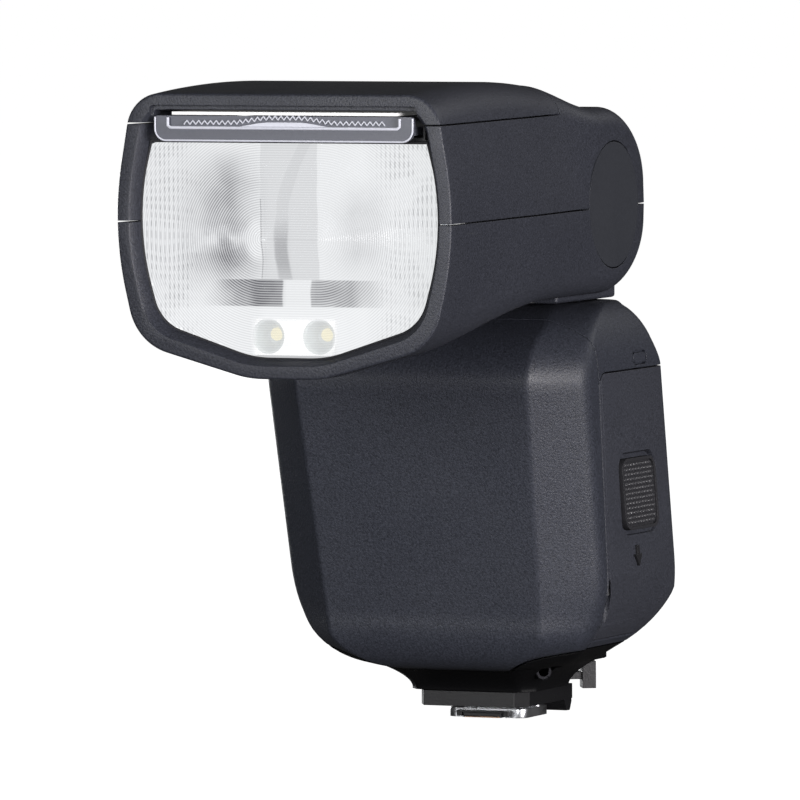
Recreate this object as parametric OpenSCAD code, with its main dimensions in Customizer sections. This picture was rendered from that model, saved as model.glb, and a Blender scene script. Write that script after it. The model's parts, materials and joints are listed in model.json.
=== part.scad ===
// Speedlight flash with a tilting and swivelling head, standing on its hot-shoe foot.
// Origin: centre of the foot's underside. +Z is up, the lens faces -Y, the battery door faces +X.

/* [Foot] */
// Width of the accessory foot plate across the camera shoe
foot_w = 18.6; // [18.4:0.1:18.6]
// Thickness of the accessory foot plate
foot_t = 2; // [1.8:0.1:2]
// Length of the foot plate along the shoe
foot_l = 14; // [13:0.5:14.5]

// Radius of the threaded bracket hole in the collar
bracket_r = 1.25; // [1:0.05:1.4]

/* [Body] */
// Half width of the body at its widest
body_half_w = 38.3; // [38:0.1:38.6]
// Height of the body's crown above the foot's underside
body_top = 92.6; // [92:0.1:92.6]
// Wall thickness of the moulded casings
wall = 2.2; // [2:0.1:2.3]

/* [Head] */
// Half width of the head at the lens
head_half_w = 39.1; // [38.6:0.1:39.4]
// Highest point of the head
head_top = 142.6; // [142:0.1:143]
// Radius of the ears that carry the tilt shafts
ear_r = 21.3; // [21.2:0.1:21.5]
// Travel of the flash tube and reflector from wide to telephoto
zoom_travel = 20; // [16:1:20]

/* [Clearances] */
// Radial clearance of a shaft in its bore
run_gap = 0.05; // [0.03:0.01:0.08]
// Gap at the seams between casings
seam = 0.24; // [0.2:0.02:0.3]

/* [Hidden] */
$fn = 48;

// Hinge axes
tilt_y = -18.4;
tilt_z = 114.2;
neck_r = 20.6;
neck_half_w = 27;
ear_gap = 0.4;

// Body profile
slope = 0.228;
lean = atan(slope);
panel_top = 76.4;
panel_low = 24;
crown_y = -20.5;
body_low = 12;
back_top = 78.6;
shoulder_z = 79;
back_low = 28;

// Head profile
head_front = -116;
head_split = 113.7;
lid_split = 134.6;
lid_back = -43;
lens_top = 130.6;
lens_y = -114;
arc_steps = 5;

// Zoom guides
rod_r = 1.2;
screw_r = 1;

// Battery door
door_top = 79.8;
door_side_x = 32.5;
door_slope = 0.156;
door_seam_y = -35;
door_seam_z = 75.4;
hinge_x = 36.5;
hinge_back = 1.3;
hinge_r = 1.1;
pin_r = 0.75;
pin_low = -21;
pin_high = 28;
sleeve_low = -15;
sleeve_high = 24;

// ---------------------------------------------------------------- outlines and lofts

function unit(v) = v / norm(v);
function turned(v, a) = [v.x * cos(a) - v.y * sin(a), v.x * sin(a) + v.y * cos(a)];
function mix(a, b, t) = a + (b - a) * t;
function part_way(v, v0, v1) = min(1, max(0, (v - v0) / (v1 - v0)));
function ease(v, v0, v1) = (1 - cos(180 * part_way(v, v0, v1))) / 2;
// Quarter of a superellipse: 1 at u = 0 and 0 at u = 1
function bow(u, power) = pow(max(0, 1 - pow(min(1, max(0, u)), power)), 1 / power);

// Arc of radius r that rounds corner p between its neighbours a and b
function corner_arc(a, p, b, r, n) =
    let (u = unit(a - p),
         v = unit(b - p),
         half = acos(u * v) / 2,
         centre = p + unit(u + v) * r / sin(half),
         start = p + u * r / tan(half) - centre,
         sweep = -sign(cross(u, v)) * (180 - 2 * half))
    [for (i = [0:n]) centre + turned(start, sweep * i / n)];

// Closed outline from corners [x, y, radius]
function rounded(c) =
    let (m = len(c))
    [for (i = [0:m - 1])
        let (a = c[(i + m - 1) % m], p = c[i], b = c[(i + 1) % m])
        each corner_arc([a.x, a.y], [p.x, p.y], [b.x, b.y], p.z, arc_steps)];

// Corners of the right half followed by their mirror images
function both_sides(c) = concat(c, [for (i = [len(c) - 1:-1:0]) [-c[i].x, c[i].y, c[i].z]]);

// Solid through a list of rings that all have the same number of points
module loft(rings) {
    n = len(rings[0]);
    last = len(rings) - 1;
    polyhedron(
        [for (ring = rings) each ring],
        concat(
            [[for (i = [0:n - 1]) i]],
            [for (k = [0:last - 1], i = [0:n - 1])
                let (j = (i + 1) % n)
                each [[k * n + i, (k + 1) * n + j, k * n + j], [k * n + i, (k + 1) * n + i, (k + 1) * n + j]]],
            [[for (i = [n - 1:-1:0]) last * n + i]]));
}

// Moulded shell: its cuts are worked out together as one closed skin
module moulded() {
    resize([0, 0, 0]) children();
}

// Plate with rounded corners, centred, rising from z = 0
module round_plate(w, d, r, h) {
    linear_extrude(h) {
        square([w - 2 * r, d], center = true);
        square([w, d - 2 * r], center = true);
        for (x = [-1, 1], y = [-1, 1]) translate([x * (w / 2 - r), y * (d / 2 - r)]) circle(r);
    }
}

// Cylinder along X from x0 to x1 on the line through y and z
module rod_x(r, x0, x1, y, z) {
    translate([x0, y, z]) rotate([0, 90, 0]) cylinder(r = r, h = x1 - x0);
}

// Cylinder along Y from y0 to y1 on the line through x and z
module rod_y(r, y0, y1, x, z) {
    translate([x, y0, z]) rotate([-90, 0, 0]) cylinder(r = r, h = y1 - y0);
}

module box(low, high) {
    translate(low) cube(high - low);
}

module both_x() {
    children();
    mirror([1, 0, 0]) children();
}

// ---------------------------------------------------------------- body profile

function panel_y(z) = -50.07 + (panel_top - z) * slope;
function back_y(z) = 3.9 + (back_top - z) * slope;
function body_front_y(z) =
    z > panel_top ? mix(crown_y, panel_y(panel_top), bow((z - panel_top) / (body_top - panel_top), 2))
    : z > panel_low ? panel_y(z)
    : mix(-27.5, panel_y(panel_low), bow((panel_low - z) / (panel_low - body_low), 2));
function body_back_y(z) =
    z > shoulder_z + 5 ? mix(-1.5, back_y(shoulder_z + 5), bow((z - shoulder_z - 5) / (body_top - shoulder_z - 5), 2))
    : z > back_low ? back_y(z)
    : mix(-8, back_y(back_low), bow((back_low - z) / (back_low - body_low), 2));
function body_side_x(z) =
    let (straight = body_half_w - (76 - min(z, shoulder_z)) * 0.022)
    z > shoulder_z ? mix(31, straight, bow((z - shoulder_z) / (body_top - shoulder_z), 1.8))
    : z > 36 ? straight
    : mix(16, straight, bow((36 - z) / (36 - body_low), 2.4));

// Outline of the body at height z, moved in by inset
function body_ring(z, inset) =
    let (front = body_front_y(z) + inset,
         back = body_back_y(z) - inset,
         depth = back - front,
         side = body_side_x(z) - inset,
         panel = min(27.45 - (76 - z) * 0.041, side - 8) - inset * 0.4,
         cut = min(8.5, depth * 0.3),
         tail = min(5 + max(0, back_low - z, (z - shoulder_z) * 0.57), depth * 0.4))
    [for (p = rounded(both_sides([
        [panel, front, min(4, depth * 0.15)],
        [side, front + cut, min(5, depth * 0.15)],
        [side, back, tail]]))) [p.x, p.y, z]];

body_heights = concat(
    [12.1, 12.8, 14.2, 16, 18, 20.5, 24, 28, 32, 36, 50, 64, 76.4],
    [for (a = [15:15:75]) mix(panel_top, body_top, sin(a))],
    [body_top - 0.1]);
cavity_heights = concat([14.5, 16, 18, 20.5, 24, 28, 32, 36, 50, 64, 76.4], [80, 83, 86, 88.4, 89.8]);

module body_outside() {
    loft([for (z = body_heights) body_ring(z, 0)]);
}

module body_cavity() {
    loft([for (z = cavity_heights) body_ring(z, wall)]);
}

// Everything under the curved front seam of the base cover, lowered by drop
module under_front_seam(drop) {
    edge = [[13, 11.8], [16.5, 13.2], [20, 14.7], [26.5, 16.2], [34.5, 17.3], [45, 17.6]];
    right = [for (p = edge) [p.x, p.y - drop]];
    left = [for (i = [len(edge) - 1:-1:0]) [-edge[i].x, edge[i].y - drop]];
    translate([0, 40, 0]) rotate([90, 0, 0])
        linear_extrude(100) polygon(concat([[-45, 0], [45, 0]], [for (i = [len(right) - 1:-1:0]) right[i]],
            [for (i = [len(left) - 1:-1:0]) left[i]]));
}

// Everything that belongs to the base cover: under the curved seam in front and under a level seam behind
module base_zone(drop) {
    under_front_seam(drop);
    intersection() {
        box([-50, -60, 0], [50, 40, 17.3 - drop]);
        behind_seam(0);
    }
}

// Half space behind the door's front seam, moved back by shift
module behind_seam(shift) {
    rotate([90, 0, 90]) translate([0, 0, -60]) linear_extrude(120)
        polygon([for (z = [-20, 120]) [door_seam_y + (door_seam_z - z) * door_slope + shift, z], [90, 120], [90, -20]]);
}

// Space that the battery door fills on the casing, grown by gap
module door_space(gap) {
    intersection() {
        box([door_side_x - gap, -80, 0], [60, 40, door_top + gap]);
        behind_seam(-gap);
    }
}

// Frame that leans with the body's back: X across, Y out of the back, Z up the slope
module on_back() {
    translate([0, back_y(50), 50]) rotate([lean, 0, 0]) children();
}

// Frame in the middle of the body that leans with it
module in_body() {
    translate([0, -16.8, 50]) rotate([lean, 0, 0]) children();
}

// Frame of the door hinge: Z runs up the pin
module on_hinge() {
    translate([hinge_x, door_seam_y + (door_seam_z - 50) * door_slope + hinge_back, 50])
        rotate([atan(door_slope), 1.3, 0]) children();
}

// ---------------------------------------------------------------- foot

module foot_plate() {
    color("silver") difference() {
        union() {
            translate([0, foot_l / 2 - foot_w / 2, 0]) round_plate(foot_w, foot_l, 2, foot_t);
            box([-6.2, -7, 0.5], [6.2, 4, 3.2]);
        }
        // Pocket for the contact tongue
        box([-4.6, -12, -1], [4.6, 3, 1.3]);
        translate([7.2, 2, -1]) cylinder(r = 1.2 + run_gap, h = 8);
    }
}

module foot_block() {
    front = -18.85;
    color([0.12, 0.12, 0.13]) difference() {
        union() {
            translate([0, 0, 3.2]) linear_extrude(3.3)
                polygon([[-10.8, front], [10.8, front], [13, front + 3.8], [13, 9], [-13, 9], [-13, front + 3.8]]);
            // Tail behind the plate
            rotate([90, 0, 90]) translate([0, 0, -12.8]) linear_extrude(25.6)
                polygon([[5, 3.2], [6.2, 0.6], [8, 0.6], [9, 2.4], [9, 3.3], [5, 3.3]]);
            // Post that carries the lock lever
            translate([0, 0, 6.5]) cylinder(r = 6, h = 5.3);
        }
        box([-6.3, -7.1, 3], [6.3, 4.1, 3.2]);
        translate([7.2, 2, 0]) cylinder(r = 1.2 + run_gap, h = 8);
        for (x = [-10, 10], y = [-13, 5.6]) translate([x, y, 3]) cylinder(r = 1.9, h = 1.6);
        for (x = [-10, 10], y = [-13, 5.6]) translate([x, y, 3]) cylinder(r = 1.1, h = 4);
    }
}

module foot_screws() {
    color([0.2, 0.2, 0.21]) for (x = [-10, 10], y = [-13, 5.6]) {
        translate([x, y, 3.4]) cylinder(r = 1.8, h = 1.1);
        translate([x, y, 4.5]) cylinder(r = 1, h = 2.6);
    }
}

module contact_tongue() {
    color([0.07, 0.07, 0.08]) {
        difference() {
            box([-4.5, -11.6, 0.15], [4.5, 2.8, 1.2]);
            for (i = [-10:10]) box([i * 0.4 - 0.12, -11.7, 0.1], [i * 0.4 + 0.12, -8, 0.4]);
        }
        for (x = [-6.2, 5]) box([x, -11.4, 0.4], [x + 1.2, -9.5, 1.2]);
        box([-6.2, -11.4, 1.2], [6.2, -9.5, 1.6]);
    }
}

module contact_pins() {
    color([0.72, 0.45, 0.28]) for (i = [-10:10])
        box([i * 0.4 - 0.1, -11.5, 0.12], [i * 0.4 + 0.1, -8.1, 0.36]);
}

// The lever turns about the foot's post
module lock_lever() {
    ring_z = 7.6;
    tip_angle = 30;
    color([0.24, 0.24, 0.25]) difference() {
        union() {
            translate([0, 0, ring_z]) cylinder(r = 9.5, h = 1.6);
            rotate([0, 0, tip_angle]) box([8, -2, ring_z], [18.2, 2, ring_z + 1.6]);
            rotate([0, 0, tip_angle]) box([17.6, -2.6, 5.6], [20.6, 2.6, 11.6]);
        }
        translate([0, 0, 7]) cylinder(r = 6 + run_gap, h = 3);
        for (a = [-1.2, 0, 1.2]) rotate([0, 0, tip_angle]) box([20.2, a - 0.25, 5], [21, a + 0.25, 12]);
    }
}

module lock_pin() {
    color("silver") translate([7.2, 2, 0.1]) cylinder(r = 1.2, h = 6.2);
}

// Ring spring that holds the lever's ring down, drawn as a plain ring
module lock_spring() {
    color([0.7, 0.7, 0.68]) translate([0, 0, 9.4]) difference() {
        cylinder(r = 8.2, h = 1.4);
        translate([0, 0, -1]) cylinder(r = 6.6, h = 4);
    }
}

// Outline of the flared collar at height z
function collar_ring(z) =
    let (f = part_way(z, 6.66, 12.6),
         side = 15 + 6.5 * pow(f, 1.8),
         front = -18.7 - 9.4 * pow(f, 1.6),
         back = 10.5 + 0.4 * f)
    [for (p = rounded(both_sides([
        [side - 2.4 - 3 * f, front, 1.5 + 3 * f],
        [side, front + 3 + 4 * f, 1.5 + 3 * f],
        [side, back, 3]]))) [p.x, p.y, z]];

module base_cover() {
    color([0.09, 0.09, 0.1]) moulded() difference() {
        union() {
            body_outside();
            loft([for (z = [6.66, 8, 9.4, 10.6, 11.6, 12.6, 16]) collar_ring(z)]);
        }
        difference() {
            box([-60, -80, 0], [60, 60, 100]);
            base_zone(seam / 2);
        }
        body_cavity();
        door_space(seam);
        // Room for the lever's ring, arm and tip
        translate([0, 0, 7.3]) cylinder(r = 10, h = 12);
        cylinder(r = 6.2, h = 8);
        rotate([0, 0, 8]) linear_extrude(9.5)
            polygon([[0, 0], for (a = [0:22.5:112.5]) 26 * [cos(a), sin(a)]]);
        rotate([0, 0, 8]) difference() {
            linear_extrude(12.4) polygon([[0, 0], for (a = [0:22.5:112.5]) 28 * [cos(a), sin(a)]]);
            cylinder(r = 16.6, h = 40, center = true);
        }
        for (x = [-10, 10], y = [-13, 5.6]) translate([x, y, 5]) cylinder(r = 1.1, h = 2.3);
        translate([7.2, 2, 5]) cylinder(r = 1.4, h = 3);
        at_bracket_hole() translate([0, 0, -6.3]) cylinder(r = 2, h = 12);
    }
}

// ---------------------------------------------------------------- body casing

module casing_cuts() {
    body_cavity();
    door_space(seam / 2);
    base_zone(-seam / 2);
    // Swivel bearing
    translate([0, tilt_y, 80]) cylinder(r = 12.2, h = 20);
}

// Lugs of the front casing that hold the ends of the hinge pin
module pin_lugs() {
    on_hinge() difference() {
        union() {
            for (ends = [[pin_low, pin_low + 2], [pin_high - 3, pin_high]]) {
                translate([0, 0, ends[0]]) cylinder(r = hinge_r, h = ends[1] - ends[0]);
                box([-hinge_r, -hinge_back - 1, ends[0]], [0, 0, ends[1]]);
            }
        }
        translate([0, 0, -60]) cylinder(r = pin_r + 0.02, h = 120);
    }
}

module front_shell() {
    color([0.17, 0.18, 0.2]) moulded() union() {
        difference() {
            body_outside();
            casing_cuts();
            behind_seam(-seam / 2);
        }
        pin_lugs();
    }
}

module rear_shell() {
    color([0.16, 0.17, 0.19]) moulded() difference() {
        intersection() {
            body_outside();
            behind_seam(seam / 2);
        }
        casing_cuts();
        // Opening for the control panel
        on_back() box([-29, -6, -24], [29, 4, 28]);
        // Recess for the rubber terminal cover
        box([-45, -19.2, 53.8], [-36.2, -0.8, 74.2]);
        for (z = [59, 69]) translate([-45, -10, z]) rotate([0, 90, 0]) cylinder(r = 3.4, h = 12);
        // Finger tab slot over the door
        translate([37, -11.8, 82.2]) rotate([0, 90, 0]) cylinder(r = 1, h = 4, center = true);
    }
}

module control_panel() {
    color([0.1, 0.1, 0.11]) on_back() difference() {
        box([-28.8, -2, -23.8], [28.8, -0.1, 27.8]);
        box([-25, -3, 3.5], [25, 1, 25.5]);
        rotate([90, 0, 0]) translate([0, -11, -1]) cylinder(r = 11.2, h = 4);
        for (x = [-19, 19]) rotate([90, 0, 0]) translate([x, -3.5, -1]) cylinder(r = 2.8, h = 4);
        rotate([90, 0, 0]) translate([19, -17, -1]) cylinder(r = 3.2, h = 4);
        rotate([90, 0, 0]) translate([-19, -17, -1]) cylinder(r = 3 + run_gap, h = 4);
    }
}

module lcd_window() {
    color([0.3, 0.35, 0.36]) on_back() box([-24.8, -1.8, 3.7], [24.8, 0, 25.3]);
}

module lcd_module() {
    color([0.5, 0.55, 0.5]) on_back() box([-24, -6, 3], [24, -2.4, 26]);
}

module control_board() {
    color([0.1, 0.3, 0.18]) on_back() box([-27, -6.4, -23], [27, -5.2, 1.5]);
}

// Round control on the body's back at x and height w, from depth v0 to v1
module back_button(x, w, r, v0, v1) {
    on_back() translate([x, v0, w]) rotate([-90, 0, 0]) cylinder(r = r, h = v1 - v0);
}

module select_dial() {
    color([0.14, 0.14, 0.15]) on_back() translate([0, -3.2, -11]) rotate([-90, 0, 0]) difference() {
        cylinder(r = 11, h = 4.2);
        translate([0, 0, -1]) cylinder(r = 5.3, h = 8);
        for (i = [0:29]) rotate([0, 0, 12 * i]) translate([11.2, 0, 2]) cylinder(r = 0.45, h = 3, $fn = 16);
    }
}

module set_button() {
    color([0.2, 0.2, 0.21]) back_button(0, -11, 5.1, -3.6, 0.8);
}

module menu_button() {
    color([0.2, 0.2, 0.21]) back_button(-19, -3.5, 2.6, -3.6, 0.9);
}

module mode_button() {
    color([0.2, 0.2, 0.21]) back_button(19, -3.5, 2.6, -3.6, 0.9);
}

module test_button() {
    color([0.75, 0.4, 0.15]) back_button(19, -17, 3, -3.6, 0.9);
}

module power_lever() {
    color([0.22, 0.22, 0.23]) union() {
        back_button(-19, -17, 3, -3.6, 0);
        back_button(-19, -17, 4.4, 0, 1.6);
        on_back() box([-20, 0, -14.5], [-18, 1.6, -10.8]);
    }
}

// Rubber flap that turns on a round bead along its front edge
module terminal_cover() {
    thick = 1.5;
    outer_x = -37.9;
    hinge_y = -19 + thick / 2;
    color([0.08, 0.08, 0.09]) {
        difference() {
            translate([outer_x, -10, 64]) rotate([0, 90, 0]) round_plate(20, 18, 2, thick);
            box([outer_x - 1, -20, 50], [outer_x + 3, hinge_y, 80]);
        }
        translate([outer_x + thick / 2, hinge_y, 56]) cylinder(d = thick, h = 16);
    }
}

module sync_socket() {
    color([0.55, 0.55, 0.55]) for (z = [59, 69]) difference() {
        rod_x(3, -36.1, -31.5, -10, z);
        rod_x(1.6, -38, -33, -10, z);
    }
}

module battery_bay() {
    color([0.16, 0.16, 0.17]) in_body() difference() {
        box([-9, -15.6, -23.6], [32, 8, 25]);
        box([-7.8, -14.4, -22.4], [34, 6.8, 23.8]);
    }
}

module battery_pack() {
    color([0.25, 0.26, 0.28]) in_body() translate([-6.4, -3.8, 0.7]) rotate([0, 90, 0])
        round_plate(46, 20.8, 3, 38);
}

module battery_contacts() {
    color([0.8, 0.66, 0.3]) in_body() for (v = [-10, -5, 0]) box([-7.7, v - 1.2, -12], [-6.6, v + 1.2, -4]);
}

module main_board() {
    color([0.1, 0.32, 0.2]) in_body() box([-31, 9, -24], [31, 10.6, 28]);
}

module main_capacitor() {
    color([0.2, 0.22, 0.45]) in_body() translate([-21.6, -6, -22]) {
        cylinder(r = 12, h = 44);
        translate([0, 0, 44]) cylinder(r = 10.6, h = 0.8);
    }
}

// ---------------------------------------------------------------- battery door

module battery_door() {
    color([0.2, 0.22, 0.25]) moulded() difference() {
        intersection() {
            body_outside();
            door_space(-seam / 2);
            behind_seam(hinge_back + 0.5);
        }
        body_cavity();
        on_hinge() translate([0, 0, -45]) cylinder(r = hinge_r + run_gap, h = 90);
        // Recess of the grip pad
        grip_frame() round_plate(20, 22, 4, 5);
    }
}

// Frame of the grip pad on the door: Z out of the side, X along the door
module grip_frame() {
    translate([36.9, -11.6, 50.9]) rotate([lean, 0, 0]) rotate([90, 0, 90]) children();
}

// Sleeve that slides along the pin and carries the turning door
module door_hinge() {
    color([0.2, 0.22, 0.25]) on_hinge() difference() {
        translate([0, 0, sleeve_low]) cylinder(r = hinge_r, h = sleeve_high - sleeve_low);
        translate([0, 0, sleeve_low - 1]) cylinder(r = pin_r + run_gap, h = sleeve_high - sleeve_low + 2);
    }
}

module door_pin() {
    color("silver") on_hinge() translate([0, 0, pin_low]) cylinder(r = pin_r, h = pin_high - pin_low);
}

module door_grip() {
    rows = 13;
    color([0.07, 0.07, 0.08]) grip_frame() translate([0, 0, 0.1]) difference() {
        round_plate(17.6, 18.6, 3, 1.6);
        for (i = [0:rows]) box([-9.2, -9 + i * 1.4, 1.1], [9.2, -8.6 + i * 1.4, 2]);
    }
}

// Frame of the bracket hole in the collar: Z points out of the hole
module at_bracket_hole() {
    translate([19, -20, 11.6]) rotate([0, 90, -40]) children();
}

module bracket_insert() {
    color([0.62, 0.63, 0.66]) at_bracket_hole() difference() {
        translate([0, 0, -6.2]) cylinder(r = 1.9, h = 5.2);
        translate([0, 0, -6]) cylinder(r = bracket_r, h = 6);
    }
}

// ---------------------------------------------------------------- neck

module swivel_bearing() {
    color([0.6, 0.6, 0.6]) translate([0, tilt_y, 0]) difference() {
        union() {
            translate([0, 0, 85.6]) cylinder(r = 12, h = 6.6);
            translate([0, 0, 85.6]) cylinder(r = 15, h = 1.6);
        }
        translate([0, 0, 80]) cylinder(r = 9 + run_gap, h = 20);
    }
}

module swivel_tube() {
    color([0.65, 0.65, 0.66]) translate([0, tilt_y, 0]) difference() {
        translate([0, 0, 80.5]) cylinder(r = 9, h = 15.4);
        translate([0, 0, 80]) cylinder(r = 6.5, h = 20);
    }
}

module swivel_clip() {
    color([0.7, 0.7, 0.7]) translate([0, tilt_y, 84]) difference() {
        cylinder(r = 11, h = 1.4);
        translate([0, 0, -1]) cylinder(r = 9.02, h = 4);
    }
}

module neck_shell() {
    inner_r = 17.5;
    color([0.19, 0.2, 0.22]) difference() {
        union() {
            rod_x(neck_r, -neck_half_w, neck_half_w, tilt_y, tilt_z);
            rotate([90, 0, 90]) translate([0, 0, -neck_half_w]) linear_extrude(2 * neck_half_w)
                polygon([[-31.5, 92.9], [1.8, 92.9], [2.1, tilt_z], [tilt_y, tilt_z], [-30, 99]]);
        }
        rod_x(inner_r, 3 - neck_half_w, neck_half_w - 3, tilt_y, tilt_z);
        rod_x(5 + run_gap, -neck_half_w - 1, neck_half_w + 1, tilt_y, tilt_z);
        translate([0, tilt_y, 92]) cylinder(r = 9.02, h = 8);
    }
}

module flex_cable() {
    color([0.75, 0.5, 0.2]) translate([0, tilt_y, 78]) round_plate(7, 2.4, 1, 28);
}

module detent_ball() {
    color("silver") translate([19, tilt_y - 12.8, tilt_z]) sphere(r = 1.2);
}

module detent_spring() {
    color([0.7, 0.7, 0.68]) box([18.2, tilt_y - 15.9, tilt_z - 6], [19.8, tilt_y - 15.3, tilt_z + 6]);
}

// ---------------------------------------------------------------- tilting head

module tilt_shafts() {
    color([0.62, 0.62, 0.63]) both_x() difference() {
        rod_x(5, 17.2, 32, tilt_y, tilt_z);
        rod_x(3.6, 16, 33, tilt_y, tilt_z);
    }
}

module detent_wheel() {
    color([0.6, 0.58, 0.52]) difference() {
        rod_x(11.2, 17.6, 20.4, tilt_y, tilt_z);
        rod_x(5.02, 17, 21, tilt_y, tilt_z);
        // Click notches every 15 degrees
        for (i = [0:8]) translate([17, tilt_y, tilt_z]) rotate([180 - 15 * i, 0, 0])
            translate([0, 11.8, 0]) rotate([0, 90, 0]) cylinder(r = 1.3, h = 4, $fn = 24);
    }
}

module side_cap() {
    color([0.17, 0.18, 0.19]) rod_x(13.7, 33.2, 35.1, tilt_y, tilt_z);
}

module release_button() {
    color([0.17, 0.18, 0.19]) difference() {
        rod_x(13.7, -35.7, -33.6, tilt_y, tilt_z);
        rod_x(10.5, -37, -35.3, tilt_y, tilt_z);
    }
}

// Outline of the head at depth y, moved in by inset
function head_ring(y, inset) =
    let (v = min(y, tilt_y),
         flat = ease(v, -48, -24),
         belly = ease(v, -112, -50),
         crown = head_top - 1.6 * pow((v + 82) / 34, 2),
         top = mix(v < -48 ? crown : head_top - 1.6, tilt_z + ear_r, flat) - inset,
         bottom = mix(80.6, 94.2, belly) + inset,
         side = 35.2 + (head_half_w - 35.2) * pow(1 - part_way(v, head_front, -30), 1.3) - inset,
         squash = sqrt(max(0, 1 - pow((y - v) / ear_r, 2))),
         pinch = 1 - 0.06 * (1 - squash))
    [for (p = rounded(both_sides([
        [8.5, bottom, 25],
        [side - mix(4.6, 0.1, belly), bottom + mix(7.2, 0.6, belly), mix(12, 5, belly) - inset * 0.6],
        [side + mix(1.1, 0.05, ease(v, -70, -30)), 112.5, 70 - 4 * inset],
        [side - mix(3.8, 0.1, flat), top, mix(8, 4.5, flat) - inset * 0.6]])))
        [p.x * pinch, y, tilt_z + (p.y - tilt_z) * squash]];

head_depths = concat(
    [for (y = [head_front:8:-60]) y],
    [-55, -50, -46, -42, -38, -34, -30, -26, -22],
    [for (a = [0:12:84]) tilt_y + ear_r * sin(a)]);

module head_outside() {
    loft([for (i = [len(head_depths) - 1:-1:0]) head_ring(head_depths[i], 0)]);
}

module head_cavity() {
    loft([for (y = [-41, -46, -50, -56, -64, -72, -80, -88, -96, -104, -111]) head_ring(y, wall)]);
}

// Opening inside the rim at the front
module lens_opening() {
    loft([for (y = [-108, -120]) [for (p = head_ring(head_front, 4.1)) [p.x, y, p.z]]]);
    box([-29, -120, 132], [29, -108, head_top - 4]);
}

// Space of the lid, grown by gap
module lid_space(gap) {
    intersection() {
        box([-50, head_front - 1, lid_split - gap], [50, lid_back + gap, 150]);
        union() {
            box([-50, head_front - 1, 100], [50, lid_back - 7, 150]);
            box([-28, head_front - 1, 100], [28, lid_back + gap, 150]);
            both_x() translate([28, lid_back - 7, 100]) cylinder(r = 7 + gap, h = 50);
        }
    }
}

module head_casing() {
    difference() {
        head_outside();
        head_cavity();
        lens_opening();
        // The neck turns in here
        rod_x(neck_r + 0.5, -neck_half_w - ear_gap, neck_half_w + ear_gap, tilt_y, tilt_z);
        box([-neck_half_w - ear_gap, -37, 80], [neck_half_w + ear_gap, 10, 108]);
        box([-neck_half_w - ear_gap, -29, 100], [neck_half_w + ear_gap, 10, 150]);
        rod_x(5.02, -34, 34, tilt_y, tilt_z);
        rod_x(14, 32.6, 40, tilt_y, tilt_z);
        rod_x(14, -40, -32, tilt_y, tilt_z);
    }
}

module head_lower_shell() {
    color([0.2, 0.21, 0.24]) moulded() difference() {
        head_casing();
        box([-50, -130, head_split - seam / 2], [50, 20, 150]);
        // Finger recess under the split line
        both_x() box([38.2, -107, 111.5], [45, -42, head_split]);
        both_x() translate([30, -56, 90]) cylinder(r = 2.2, h = 5.3);
        both_x() translate([30, -56, 90]) cylinder(r = 1.2, h = 12);
    }
}

module head_upper_shell() {
    color([0.2, 0.21, 0.24]) moulded() difference() {
        head_casing();
        box([-50, -130, 70], [50, 20, head_split + seam / 2]);
        lid_space(seam / 2);
    }
}

module head_lid() {
    color([0.18, 0.19, 0.21]) moulded() intersection() {
        head_casing();
        lid_space(-seam / 2);
    }
}

module panel_tray() {
    color([0.09, 0.09, 0.1]) difference() {
        box([-31, -111.5, 131.1], [31, -64, 134.4]);
        box([-30.4, -113, 131.9], [30.4, -65, 137]);
    }
}

module wide_panel() {
    color([0.8, 0.82, 0.85, 0.6]) {
        box([-30.2, -114.5, 132.3], [30.2, -74, 134.4]);
        box([-30.2, -115, 131], [30.2, -112.2, 134.4]);
        box([-26.2, -115, 134.3], [26.2, -112.2, 136.3]);
    }
}

module catchlight_card() {
    color([0.95, 0.95, 0.94]) box([-26.2, -115, 136.45], [26.2, -76, 137.15]);
}

// Outline of the lens inside the rim, cut level under the wide panel
function lens_outline(gap) =
    let (ring = [for (p = head_ring(head_front, 4.1 + gap)) [p.x, p.z]],
         n = len(ring))
    [for (i = [0:n - 1])
        let (p = ring[i], q = ring[(i + 1) % n])
        each concat(
            p.y < lens_top ? [p] : [],
            (p.y < lens_top) != (q.y < lens_top) ? [mix(p, q, (lens_top - p.y) / (q.y - p.y))] : [])];

module fresnel_lens() {
    color([0.9, 0.93, 0.95, 0.4]) translate([0, lens_y + 2, 0]) rotate([90, 0, 0])
        linear_extrude(2) polygon(lens_outline(0.15));
}

module led_housing() {
    color([0.96, 0.96, 0.95]) difference() {
        box([-10.3, -109.5, 86.2], [10.3, -103, 93.3]);
        for (x = [-5.88, 5.88]) rod_y(3.3, -110, -105.5, x, 89.7);
    }
}

module led_lamps() {
    color([0.95, 0.85, 0.45]) for (x = [-5.88, 5.88]) {
        rod_y(1.4, -106.6, -105.6, x, 89.7);
    }
}

module guide_rods() {
    color("silver") both_x() rod_y(rod_r, -110.8, -64 + zoom_travel, 31, 101);
}

// Screw that drives the carriage, its thread taken as a plain rod
module lead_screw() {
    color([0.75, 0.7, 0.5]) rod_y(screw_r, -110.5, -59.4, -31.4, 121);
}

module zoom_motor() {
    color([0.6, 0.6, 0.62]) rod_y(4.6, -59, -46, -27.6, 120);
}

module zoom_carriage() {
    color([0.85, 0.85, 0.83]) difference() {
        union() {
            box([-29, -89, 97], [29, -86.4, 128]);
            both_x() rod_y(2.4, -92, -84, 31, 101);
            both_x() box([28, -89, 98.6], [31, -86.4, 103]);
            rod_y(2, -92, -84, -31.4, 121);
            box([-31.4, -89, 119.6], [-28, -86.4, 122.4]);
        }
        both_x() rod_y(rod_r + run_gap, -93, -83, 31, 101);
        rod_y(screw_r + run_gap, -93, -83, -31.4, 121);
    }
}

// Depth of the reflector's trough at height h from its middle
function trough(h) = -91.5 - 18 * pow(h / 14.5, 2);

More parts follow.
